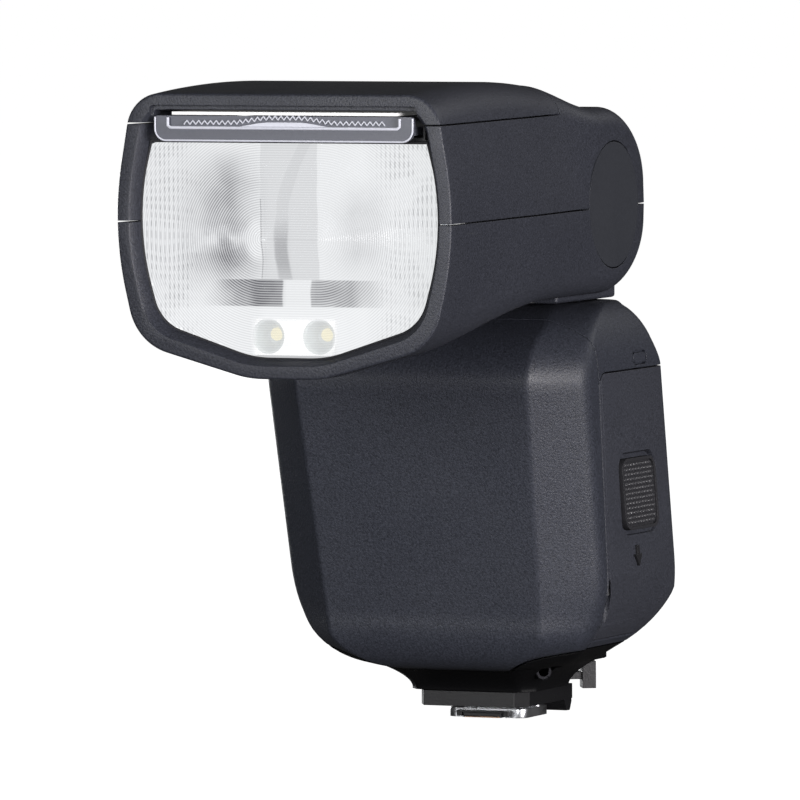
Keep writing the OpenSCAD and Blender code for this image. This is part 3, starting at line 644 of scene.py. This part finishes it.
def behind_seam(shift):
    """Everything behind the door's front seam."""
    outline = [(seam_plane_y(-20) + shift, -20), (90, -20), (90, 120), (seam_plane_y(120) + shift, 120)]
    return prism(outline, "x", -60, 60)


def before_seam(shift):
    outline = [(-90, -20), (seam_plane_y(-20) + shift, -20), (seam_plane_y(120) + shift, 120), (-90, 120)]
    return prism(outline, "x", -60, 60)


def under_front_seam(drop_by):
    """Everything under the curved seam in front, lowered by drop_by."""
    edge = [(13, 11.8), (16.5, 13.2), (20, 14.7), (23.2, 15.6), (26.5, 16.2), (30.5, 16.9), (34.5, 17.3), (45, 17.6)]
    right = [(x, z - drop_by) for x, z in edge]
    outline = [(-45, 0), (45, 0)] + right[::-1] + [(-x, z) for x, z in right]
    return prism(outline, "y", -60, 40)


def base_zone(drop_by, shift=0.0):
    zone = under_front_seam(drop_by)
    rear = common(box((-50, -60, 0.01), (50, 39.9, 17.3 - drop_by)), behind_seam(shift))
    return joined(zone, rear)


def door_zone(gap):
    """Space of the battery door, with its front top corner rounded."""
    outline = [
        (seam_plane_y(0) - gap, 0),
        (40, 0),
        (40, DOOR_TOP + gap),
    ] + [
        tuple(p) for p in corner_arc((40, DOOR_TOP + gap), (seam_plane_y(DOOR_TOP) - gap, DOOR_TOP + gap),
                                     (seam_plane_y(0) - gap, 0), 3.2 + gap, 10)
    ]
    return prism(outline, "x", DOOR_SIDE_X - gap, 60)


def on_back(x, v, w):
    """Point on the leaning back: x across, v out of the back, w up the slope."""
    return Vector((
        x,
        back_y(50) + v * math.cos(LEAN) - w * math.sin(LEAN),
        50 + v * math.sin(LEAN) + w * math.cos(LEAN),
    ))


BACK_FRAME = Matrix.Translation((0, back_y(50), 50)) @ Matrix.Rotation(LEAN, 4, "X")
hinge_place = Vector((HINGE_X, seam_plane_y(50) + HINGE_BACK, 50))
hinge_turn = Matrix.Rotation(HINGE_SIDE_TILT, 4, "Y") @ Matrix.Rotation(math.atan(DOOR_SLOPE), 4, "X")
HINGE_FRAME = Matrix.Translation(hinge_place) @ hinge_turn
grip_turn = Matrix(((0, 0, 1, 0), (1, 0, 0, 0), (0, 1, 0, 0), (0, 0, 0, 1)))
GRIP_LEAN = Matrix(((1, 0, 0, 0), (0, 1, -0.18, 0), (0, 0, 1, 0), (0, 0, 0, 1)))
GRIP_FRAME = Matrix.Translation((36.75, -11.6, 50.7)) @ GRIP_LEAN @ grip_turn


def build_body():
    outside = body_outside()
    cavity = body_cavity()

    front = copy_of(outside)
    boolean(front, cavity, keep_tool=True)
    cut(front, behind_seam(-SEAM / 2), base_zone(-SEAM / 2), door_zone(SEAM / 2))
    cut(front, cylinder((0, TILT_Y, 80), (0, TILT_Y, 100), 12.3))
    finish_piece(front, "front_casing", "body", looks["body_casing"], ["front_shell"])

    rear = copy_of(outside)
    boolean(rear, cavity, keep_tool=True)
    cut(rear, before_seam(SEAM / 2), base_zone(-SEAM / 2), door_zone(SEAM / 2))
    opening = prism(round_rect(-29, -24, 29, 28, 3), "y", -6, 4)
    cut(rear, placed(opening, BACK_FRAME))
    # Recess of the rubber flap, square at the front where the flap turns
    cut(rear, prism(round_rect(-19.2, 53.8, -0.8, 74.2, 2.2), "x", -45, -36.2))
    cut(rear, box((-45, -19.25, 53.75), (-36.15, -15, 74.25)))
    cut(rear, cylinder((0, TILT_Y, 80), (0, TILT_Y, 100), 12.3))
    for z in (59, 69):
        cut(rear, cylinder((-45, -10, z), (-33, -10, z), 3.4))
    # Low tab over the door, set off by a groove
    groove = cut(prism(round_rect(-15.8, 78.9, -7.9, 82.0, 1.3), "x", 37.3, 45),
                 prism(round_rect(-15.3, 79.4, -8.4, 81.5, 0.9), "x", 37, 46))
    cut(rear, groove)
    finish_piece(rear, "rear_casing", "body", looks["body_casing"], ["rear_shell"])

    build_door(outside, cavity)
    build_base(outside, cavity)
    drop(outside, cavity)


def build_door(outside, cavity):
    door = copy_of(outside)
    common(door, door_zone(-SEAM / 2))
    # The front edge is a barrel round the hinge sleeve
    barrel = [(1.25 * math.cos(a), 1.25 * math.sin(a)) for a in steps(0, -math.pi, 24)]
    waste = placed(prism([(-8, -4), (8, -4), (8, 0)] + barrel + [(-8, 0)], "z", -21, 40), HINGE_FRAME)
    cut(door, waste)
    boolean(door, cavity, keep_tool=True)
    cut(door, placed(cylinder((0, 0, -45), (0, 0, 45), HINGE_R + 0.06), HINGE_FRAME))
    # Rounded recess of the grip pad with a softer lip
    recess = prism(round_rect(-10.2, -8.9, 10.2, 8.9, 3.6), "z", 0, 6)
    cut(door, placed(recess, GRIP_FRAME))
    slope_cut = loft([
        [(p.x, p.y, t) for p in round_rect(-10.2 - grow, -8.9 - grow, 10.2 + grow, 8.9 + grow, 3.6 + grow)]
        for t, grow in ((0.35, -0.02), (1.8, 0.7))
    ])
    cut(door, placed(slope_cut, GRIP_FRAME))
    finish_piece(door, "door_cover", "door", looks["door_plastic"], ["battery_door"])


def build_base(outside, cavity):
    cover = copy_of(outside)
    joined(cover, loft([collar_ring(z) for z in steps(6.66, 12.6, 18) + [16.0]]))
    common(cover, base_zone(SEAM / 2))
    boolean(cover, cavity, keep_tool=True)
    cut(cover, door_zone(SEAM))
    cut(cover, cylinder((0, 0, 7.3), (0, 0, 19.3), 10), cylinder((0, 0, 0), (0, 0, 8), 6.2))
    fan = [(0, 0)] + [(26 * math.cos(a), 26 * math.sin(a)) for a in steps(math.radians(8), math.radians(120.5), 10)]
    cut(cover, prism(fan, "z", 0.02, 9.5))
    tips = steps(math.radians(8), math.radians(120.5), 16)
    ring = [(28 * math.cos(a), 28 * math.sin(a)) for a in tips]
    ring += [(16.6 * math.cos(a), 16.6 * math.sin(a)) for a in reversed(tips)]
    cut(cover, prism(ring, "z", 0.03, 12.4))
    hole = Vector((math.cos(math.radians(40)), -math.sin(math.radians(40)), 0))
    mouth = Vector((19, -20, 11.6))
    cut(cover, cylinder(mouth - hole * 6.3, mouth + hole * 6, 2))
    finish_piece(cover, "base_collar", "body", looks["collar_plastic"], ["base_cover"])


def collar_ring(z):
    f = part_way(z, 6.66, 12.6)
    side = 15 + 6.5 * f**1.8
    front = -18.7 - 9.4 * f**1.6
    back = 10.5 + 0.4 * f
    r = 1.5 + 3 * f
    corners = [(side - 2.4 - 3 * f, front, r), (side, front + 3 + 4 * f, r), (side, back, 3)]
    return [(p.x, p.y, z) for p in rounded(both_sides(corners))]


# ---------------------------------------------------------------- head shape
def head_ring(y, inset=0.0, at=None):
    """Outline of the head at depth y, moved in by inset; at places it elsewhere along Y."""
    v = min(y, TILT_Y)
    flat, belly = ease(v, -48, -24), ease(v, -112, -50)
    crown = HEAD_TOP - 1.6 * ((v + 82) / 34) ** 2
    top = mix(crown if v < -48 else HEAD_TOP - 1.6, TILT_Z + EAR_R, flat) - inset
    bottom = mix(80.6, 94.2, belly) + inset
    side = 35.2 + (HEAD_HALF_W - 35.2) * (1 - part_way(v, HEAD_FRONT, -30)) ** 1.3 - inset
    squash = math.sqrt(max(0, 1 - ((y - v) / EAR_R) ** 2))
    pinch = 1 - 0.06 * (1 - squash)
    corners = both_sides([
        (8.5, bottom, 25),
        (side - mix(4.6, 0.1, belly), bottom + mix(7.2, 0.6, belly), mix(12, 5, belly) - inset * 0.6),
        (side + mix(1.1, 0.05, ease(v, -70, -30)), 112.5, 70 - 4 * inset),
        (side - mix(3.8, 0.1, flat), top, mix(8, 4.5, flat) - inset * 0.6),
    ])
    return [(p.x * pinch, y if at is None else at, TILT_Z + (p.y - TILT_Z) * squash) for p in rounded(corners, 14)]


def head_outside():
    lip = [head_ring(HEAD_FRONT, inset, HEAD_FRONT + back) for inset, back in ((0.55, 0), (0.25, 0.1), (0.08, 0.3))]
    depths = steps(HEAD_FRONT + 0.6, -60, 28) + steps(-58, -20, 24)
    rear = [TILT_Y + EAR_R * math.sin(math.radians(a)) for a in range(0, 89, 4)]
    return loft(lip + [head_ring(y) for y in depths + rear])


def head_cavity():
    return loft([head_ring(y, WALL) for y in steps(-111, -41, 26)])


def lens_opening():
    """Opening inside the rim: a wall that slopes in to the lens, and the slot of the two pull-outs."""
    stages = ((RIM, -108), (RIM, -113.0), (RIM - 1.15, -115.7), (RIM - 1.4, -116.02), (RIM - 1.4, -120))
    opening = loft([head_ring(HEAD_FRONT, inset, at) for inset, at in stages])
    slot = prism(round_rect(-30.6, 129, 30.6, SLOT_TOP, 0.8), "y", -120.5, -107.5)
    mouth = prism(round_rect(-31.0, 129, 31.0, SLOT_TOP + 1.0, 1.0), "y", -120.5, -114.7)
    return joined(opening, slot, mouth)


def lid_space(gap):
    outline = rounded([
        (-50, HEAD_FRONT - 1, 0.5), (50, HEAD_FRONT - 1, 0.5),
        (50, LID_BACK - 7 + gap, 0.5), (35 + gap, LID_BACK + gap, 7), (-35 - gap, LID_BACK + gap, 7),
        (-50, LID_BACK - 7 + gap, 0.5),
    ])
    return prism(outline, "z", LID_SPLIT - gap, 150)


def head_casing():
    casing = head_outside()
    cut(casing, head_cavity(), lens_opening())
    cut(casing, cylinder((-NECK_HALF_W - EAR_GAP, TILT_Y, TILT_Z), (NECK_HALF_W + EAR_GAP, TILT_Y, TILT_Z),
                         NECK_R + 0.5, 128))
    reach = NECK_HALF_W + EAR_GAP
    cut(casing, box((-reach, -37, 80), (reach, 10, 108)), box((-reach, -29, 100), (reach, 10.1, 150)))
    cut(casing, cylinder((-34, TILT_Y, TILT_Z), (34, TILT_Y, TILT_Z), 5.02))
    cut(casing, cylinder((32.6, TILT_Y, TILT_Z), (40, TILT_Y, TILT_Z), 14, 96))
    cut(casing, cylinder((-40, TILT_Y, TILT_Z), (-32, TILT_Y, TILT_Z), 14, 96))
    return casing


def build_head():
    casing = head_casing()
    low = copy_of(casing)
    cut(low, box((-50, -130, HEAD_SPLIT - SEAM / 2), (50, 20, 150)))
    for side in (-1, 1):
        recess = prism(round_rect(-107, 111.4, -42, HEAD_SPLIT + 0.6, 1.1), "x", 37.9, 45)
        cut(low, recess if side > 0 else placed(recess, Matrix.Scale(-1, 4, (1, 0, 0))))
    finish_piece(low, "head_lower_casing", "head", looks["head_casing"], ["head_lower_shell"])

    high = copy_of(casing)
    cut(high, box((-50, -130, 70), (50, 20, HEAD_SPLIT + SEAM / 2)), lid_space(SEAM / 2))
    finish_piece(high, "head_upper_casing", "head", looks["head_casing"], ["head_upper_shell"])

    common(casing, lid_space(-SEAM / 2))
    finish_piece(casing, "head_lid_cover", "head", looks["head_casing"], ["head_lid"])


# ---------------------------------------------------------------- lens, lamps and pull-outs
def lens_edge(direction_from, direction, inset):
    """Distance from a point to the lens outline along a direction."""
    ring = [(x, min(z, LENS_TOP)) for x, _, z in head_ring(HEAD_FRONT, RIM + inset)]
    best = 1e9
    ox, oz = direction_from
    dx, dz = direction
    for i, (x0, z0) in enumerate(ring):
        x1, z1 = ring[(i + 1) % len(ring)]
        ex, ez = x1 - x0, z1 - z0
        cross = dx * ez - dz * ex
        if abs(cross) < 1e-9:
            continue
        t = ((x0 - ox) * ez - (z0 - oz) * ex) / cross
        u = ((x0 - ox) * dz - (z0 - oz) * dx) / cross
        if t > 0 and -1e-6 <= u <= 1 + 1e-6:
            best = min(best, t)
    return best


def build_lens():
    """Ribbed lens: rings round a short level line, each a shallow slope with a steep step."""
    pitch, relief, middle_z, half_line = 0.52, 0.2, 110.1, 6.4
    spokes = []
    for a in steps(-90, 90, 90):
        spokes.append(((half_line, middle_z), a))
    for x in steps(half_line, -half_line, 8)[1:-1]:
        spokes.append(((x, middle_z), 90))
    for a in steps(90, 270, 90):
        spokes.append(((-half_line, middle_z), a))
    for x in steps(-half_line, half_line, 8)[1:-1]:
        spokes.append(((x, middle_z), 270))
    profile = [(0.0, 0.0)]
    for k in range(1, 80):
        profile.append((k * pitch - 0.16, relief))
        profile.append((k * pitch, 0.0))
    verts, faces = [], []
    for origin, angle in spokes:
        direction = (math.cos(math.radians(angle)), math.sin(math.radians(angle)))
        reach = lens_edge(origin, direction, 0.15)
        for r, rise in profile:
            r_here = min(r, reach)
            step_in = 0.0 if r >= reach else rise
            verts.append((origin[0] + direction[0] * r_here, LENS_Y + relief - step_in,
                          origin[1] + direction[1] * r_here))
    count, rows = len(profile), len(spokes)
    for i in range(rows):
        for j in range(count - 1):
            a, b = i * count + j, ((i + 1) % rows) * count + j
            faces.append((a, a + 1, b + 1, b))
    # Flat back
    back = len(verts)
    for i in range(rows):
        x, _, z = verts[i * count + count - 1]
        verts.append((x, LENS_Y + 1.8, z))
    for i in range(rows):
        j = (i + 1) % rows
        faces.append((i * count + count - 1, back + i, back + j, j * count + count - 1))
    faces.append(tuple(back + i for i in range(rows)))
    lens = new_object(verts, faces)
    bm = bmesh.new()
    bm.from_mesh(lens.data)
    bmesh.ops.remove_doubles(bm, verts=bm.verts, dist=0.002)
    bmesh.ops.recalc_face_normals(bm, faces=bm.faces)
    bm.to_mesh(lens.data)
    bm.free()
    finish_piece(lens, "ribbed_lens", "head", looks["lens_plastic"], ["fresnel_lens"], sharp=25)

    # Black seal in the gap round the lens
    ring = [(x, LENS_Y - 0.1, min(z, LENS_TOP + 0.2)) for x, _, z in head_ring(HEAD_FRONT, RIM + 0.05)]
    wire("lens_seal", ring, 0.3, "head", looks["rubber"], closed=True)


def wire(name, points, radius, body, material, closed=False):
    """Round bead along a line of points, in mm."""
    curve = bpy.data.curves.new(name, "CURVE")
    curve.dimensions = "3D"
    curve.bevel_depth = radius
    curve.bevel_resolution = 3
    curve.use_fill_caps = True
    spline = curve.splines.new("POLY")
    spline.points.add(len(points) - 1)
    for point, place in zip(spline.points, points):
        point.co = (*place, 1)
    spline.use_cyclic_u = closed
    holder = bpy.data.objects.new(name + "_curve", curve)
    bpy.context.scene.collection.objects.link(holder)
    graph = bpy.context.evaluated_depsgraph_get()
    mesh = bpy.data.meshes.new_from_object(holder.evaluated_get(graph))
    drop(holder)
    bead = bpy.data.objects.new(name, mesh)
    bpy.context.scene.collection.objects.link(bead)
    return finish_piece(bead, name, body, material, sharp=40)


def build_wide_panel():
    """Frosted pull-out panel: a front lip with a stepped tab, pale edges and a zig-zag grip strip; the pale edges,
    the swell and the strip glow with painted highlight.
    """
    half, low, high, front = 30.0, 130.9, 136.3, -115.6
    tab_half, tab_low = 26.9, 133.6
    outline = rounded([(-half, low, 2.6), (half, low, 2.6), (half, high, 0.8), (-half, high, 0.8)])
    panel = prism(outline, "y", front, front + 1.3)
    cut(panel, prism(round_rect(-tab_half, tab_low, tab_half, high + 3, 0.8), "y", front - 1, front + 0.8))
    sheet = box((-half, front + 1, 132.4), (half, -74, 134.2))
    joined(panel, sheet)
    finish_piece(panel, "diffuser_panel", "wide_panel_slide", looks["frosted_plastic"],
                 ["wide_panel"], bevel=0.12)

    side = [(-half + 0.15, high - 0.3)] + [(p.x, p.y) for p in corner_arc(
        (-half + 0.15, high), (-half + 0.15, low + 0.15), (half, low + 0.15), 2.5, 10)]
    edge = side + [(-x, z) for x, z in reversed(side)]
    wire("diffuser_edge", [(x, front + 0.1, z) for x, z in edge], 0.22, "wide_panel_slide", frosted_edge_glow)

    def rise(x):
        return 1.1 * ease(13 - abs(x), 0, 10)

    lip = [(-tab_half, high - 0.4), (-tab_half, tab_low + 0.6), (-tab_half + 0.5, tab_low + 0.2)]
    lip += [(x, tab_low + 0.15) for x in steps(-tab_half + 1, tab_half - 1, 24)]
    lip += [(-x, z) for x, z in reversed(lip[:3])]
    wire("diffuser_tab_edge", [(x, front + 0.15, z) for x, z in lip], 0.34, "wide_panel_slide", frosted_edge_glow)
    swell = [(x, tab_low - 0.1) for x in steps(-13, 13, 26)] + [(x, tab_low + 0.3 + rise(x)) for x in steps(13, -13, 26)]
    finish_piece(prism(swell, "y", front + 0.25, front + 0.75), "diffuser_swell", "wide_panel_slide",
                 frosted_edge_glow, bevel=0.08)

    teeth = 34
    top, bottom = [], []
    for i in range(teeth * 2 + 1):
        x = mix(-23.3, 23.3, i / (teeth * 2))
        peak = 0.75 if i % 2 else 0.0
        base = tab_low + 0.75 + rise(x) * 0.95
        top.append((x, base + peak + 0.28))
        bottom.append((x, base + peak))
    finish_piece(prism(top + bottom[::-1], "y", front + 0.45, front + 0.8), "diffuser_grip_strip",
                 "wide_panel_slide", frosted_edge_glow)


def build_lamps():
    """White lamp housing with two conical cups and their clear bowls."""
    housing = prism(round_rect(-10.2, 85.4, 9.2, 93.6, 0.8), "y", -110.2, -104.0)
    centres = [(-6.3, 89.4), (5.5, 89.4)]
    for x, z in centres:
        cut(housing, cylinder((x, -110.5, z), (x, -105.2, z), 3.9, 64, 2.2))
    finish_piece(housing, "lamp_housing", "head", looks["white_plastic"], ["led_housing"], bevel=0.15)
    bowls = None
    for x, z in centres:
        bowl = cut(cylinder((x, -110.0, z), (x, -105.6, z), 3.75, 64, 2.3),
                   cylinder((x, -110.4, z), (x, -106.4, z), 3.45, 64, 1.7))
        bowls = bowl if bowls is None else joined(bowls, bowl)
    finish_piece(bowls, "lamp_bowls", "head", cup_glass)


def build_grip():
    """Knurled pad on the battery door: rows of small blunt pyramids in a rounded field."""
    width, height, columns, rows = 18.8, 15.8, 10, 13
    pad = prism(round_rect(-width / 2, -height / 2, width / 2, height / 2, 3), "z", 0.12, 1.0)
    joined(pad, cut(prism(round_rect(-width / 2, -height / 2, width / 2, height / 2, 3), "z", 0.9, 1.55),
                    prism(round_rect(-width / 2 + 0.7, -height / 2 + 0.7, width / 2 - 0.7, height / 2 - 0.7, 2.4),
                          "z", 0.5, 2)))
    verts, faces = [], []
    step_x, step_y = (width - 2.0) / columns, (height - 2.0) / rows
    for row in range(rows):
        shift = 0.25 if row % 2 else -0.25
        for column in range(columns):
            cx = -width / 2 + 1.0 + (column + 0.5 + shift) * step_x
            cy = -height / 2 + 1.0 + (row + 0.5) * step_y
            corner = math.hypot(max(0, abs(cx) - width / 2 + 3), max(0, abs(cy) - height / 2 + 3))
            if corner > 2.0 or abs(cx) > width / 2 - 1.1:
                continue
            first = len(verts)
            for z, reach in ((0.95, 0.48), (1.18, 0.36), (1.36, 0.14)):
                for a in range(8):
                    turn = math.radians(45 * a)
                    verts.append((cx + reach * 1.12 * step_x * math.cos(turn) * 0.9,
                                  cy + reach * 1.12 * step_y * math.sin(turn) * 0.9, z))
            for level in range(2):
                for a in range(8):
                    b = (a + 1) % 8
                    low, high = first + level * 8, first + level * 8 + 8
                    faces.append((low + a, low + b, high + b, high + a))
            faces.append(tuple(first + 16 + a for a in range(8)))
            faces.append(tuple(first + a for a in reversed(range(8))))
    finish_piece(placed(new_object(verts, faces), GRIP_FRAME), "grip_knurls", "door", polished_rubber)
    finish_piece(placed(pad, GRIP_FRAME), "grip_pad", "door", looks["rubber"], ["door_grip"])

    # Plain arrow under the pad that shows which way the door slides
    arrow = [(-3.6, -11.4), (-2.4, -11.4), (-2.4, -13.4), (-1.2, -13.4), (-3.0, -16.0), (-4.8, -13.4), (-3.6, -13.4)]
    mark = placed(prism(arrow, "z", 0.0, 1.28), GRIP_FRAME)
    finish_piece(mark, "door_arrow", "door", printed_mark)


def build_controls():
    """Control panel with its openings, and the dial with a fluted rim and a finger groove."""
    panel = prism(round_rect(-28.8, -23.8, 28.8, 27.8, 2.8), "y", -2, -0.1)
    cut(panel, prism(round_rect(-25, 3.5, 25, 25.5, 1.0), "y", -3, 1))
    frame_groove = cut(prism(round_rect(-27, 1.6, 27, 26.9, 2), "y", -0.5, 1),
                       prism(round_rect(-26.6, 2.0, 26.6, 26.5, 1.7), "y", -1, 2))
    cut(panel, frame_groove)
    for x, w, r in ((0, -11, 11.2), (-19, -3.5, 2.8), (19, -3.5, 2.8), (19, -17, 3.2), (-19, -17, 3.06)):
        cut(panel, cylinder((x, -3, w), (x, 1, w), r, 96))
    finish_piece(placed(panel, BACK_FRAME), "panel_plate", "body", looks["panel_plastic"],
                 ["control_panel"], bevel=0.15)

    flutes, rim = 48, []
    for i in range(flutes * 4):
        angle = 2 * math.pi * i / (flutes * 4)
        r = 10.85 if i % 4 < 2 else 10.45
        rim.append((r * math.cos(angle), -11 + r * math.sin(angle)))
    smooth_rim = [(10.4 * math.cos(a), -11 + 10.4 * math.sin(a)) for a in steps(0, 2 * math.pi, 96)[:-1]]
    dial = joined(prism(smooth_rim, "y", -3.2, 0.95), prism(rim, "y", -0.2, 0.75))
    cut(dial, cylinder((0, -4, -11), (0, 2, -11), 5.3, 72))
    for a in steps(0, 2 * math.pi, 24)[:-1]:
        at = Vector((8 * math.cos(a), 0.98, -11 + 8 * math.sin(a)))
        cut(dial, cylinder(at, at + Vector((0, 0.4, 0)), 0.3, 16, 0.6))
    finish_piece(placed(dial, BACK_FRAME), "dial_wheel", "dial", looks["key_plastic"],
                 ["select_dial"], bevel=0.12)


build_body()
build_head()
build_lens()
build_wide_panel()
build_lamps()
build_grip()
build_controls()


# ---------------------------------------------------------------- CAD nodes that stay
slots = {part["node"]: part["material_slot"] for part in frame["record"]["subparts"]}
soft_edges = {
    "neck_shell": 0.8, "side_cap": 0.35, "release_button": 0.35, "foot_block": 0.35, "foot_plate": 0.3,
    "lock_lever": 0.35, "contact_tongue": 0.1, "control_panel": 0.3, "select_dial": 0.3, "set_button": 0.4,
    "menu_button": 0.35, "mode_button": 0.35, "test_button": 0.35, "power_lever": 0.35, "terminal_cover": 0.45,
    "led_housing": 0.25, "catchlight_card": 0.12, "lcd_window": 0.2, "battery_pack": 0.5, "door_hinge": 0.1,
    "battery_bay": 0.3, "panel_tray": 0.15,
}
for name, node in nodes.items():
    node.data.materials.clear()
    node.data.materials.append(looks[slots[name]])
    weld = node.modifiers.new("weld", "WELD")
    weld.merge_threshold = 0.000002
    if name == "bracket_insert":
        node.data.materials[0] = dark_metal
    if name in soft_edges:
        soften(node, soft_edges[name], 28, 3)

# ---------------------------------------------------------------- stage, light and camera
floor = new_object([(-30, -30, 0), (30, -30, 0), (30, 30, 0), (-30, 30, 0)], [(0, 1, 2, 3)], "floor")
floor_look = Shader("floor")
floor_base = floor_look.add("ShaderNodeBsdfPrincipled")
floor_look.link(floor_look.remap(floor_look.noise(3, 2.0), 0.75, 0.85), floor_base.inputs["Roughness"])
floor_base.inputs["Specular IOR Level"].default_value = 0.0
floor_base.inputs["Emission Color"].default_value = (1, 1, 1, 1)
camera_sees = floor_look.add("ShaderNodeLightPath").outputs["Is Camera Ray"]
floor_look.link(floor_look.remap(camera_sees, 0.0, 0.98, 0, 1), floor_base.inputs["Emission Strength"])
floor_look.link(floor_look.blend(camera_sees, (0.12, 0.12, 0.12), (0.3, 0.3, 0.3)), floor_base.inputs["Base Color"])
floor_look.link(floor_base.outputs["BSDF"], floor_look.out.inputs["Surface"])
floor.data.materials.append(floor_look.material)
floor.location.z = -0.0004


def area_light(name, place, target, size, power, tint=(1, 1, 1)):
    data = bpy.data.lights.new(name, "AREA")
    data.shape = "RECTANGLE"
    data.size, data.size_y = size
    data.energy = power
    data.color = tint
    lamp = bpy.data.objects.new(name, data)
    lamp.location = place
    lamp.rotation_euler = (Vector(target) - Vector(place)).to_track_quat("-Z", "Y").to_euler()
    bpy.context.scene.collection.objects.link(lamp)
    return lamp


centre = (Vector(cad_box[0]) + Vector(cad_box[1])) / 2
area_light("key", (-0.2, -1.6, 0.34), centre, (0.8, 0.6), 16.0)
area_light("right", (1.25, -0.75, 0.13), centre, (0.6, 0.35), 32.0, (1.0, 0.97, 0.98))
area_light("back", (0.9, 1.2, 1.0), centre, (0.9, 0.6), 3.0)
area_light("back_left", (-1.1, 1.0, 0.13), centre, (0.5, 0.3), 8.0, (0.97, 0.98, 1.0))

# The backdrop is white to the camera, and gives the object a much weaker light
world = bpy.data.worlds.new("studio")
world.use_nodes = True
sky = world.node_tree
backdrop = sky.nodes["Background"]
backdrop.inputs["Color"].default_value = (1, 1, 1, 1)
camera_ray = sky.nodes.new("ShaderNodeLightPath").outputs["Is Camera Ray"]
strength = sky.nodes.new("ShaderNodeMapRange")
strength.inputs["To Min"].default_value = 0.07
strength.inputs["To Max"].default_value = 1.0
sky.links.new(camera_ray, strength.inputs["Value"])
sky.links.new(strength.outputs["Result"], backdrop.inputs["Strength"])
bpy.context.scene.world = world
bpy.context.scene.view_settings.view_transform = "Standard"

# The camera looks from the right and slightly above
AZIMUTH, ELEVATION, ROLL = math.radians(23.793), math.radians(3.362), math.radians(-0.394)
back_way = Vector((
    math.sin(AZIMUTH) * math.cos(ELEVATION), -math.cos(AZIMUTH) * math.cos(ELEVATION), math.sin(ELEVATION)))
right_way = Vector((math.cos(AZIMUTH), math.sin(AZIMUTH), 0))
up_way = back_way.cross(right_way) * -1 if back_way.cross(right_way).z < 0 else back_way.cross(right_way)
right_2 = right_way * math.cos(ROLL) + up_way * math.sin(ROLL)
up_2 = up_way * math.cos(ROLL) - right_way * math.sin(ROLL)
camera_data = bpy.data.cameras.new("camera")
camera_data.sensor_width = 36
camera_data.lens = 476.95
camera_data.clip_end = 10
camera = bpy.data.objects.new("camera", camera_data)
camera.matrix_world = Matrix((
    (right_2.x, up_2.x, back_way.x, 0.9252),
    (right_2.y, up_2.y, back_way.y, -2.1537),
    (right_2.z, up_2.z, back_way.z, 0.2076),
    (0, 0, 0, 1),
))
bpy.context.scene.collection.objects.link(camera)
bpy.context.scene.camera = camera
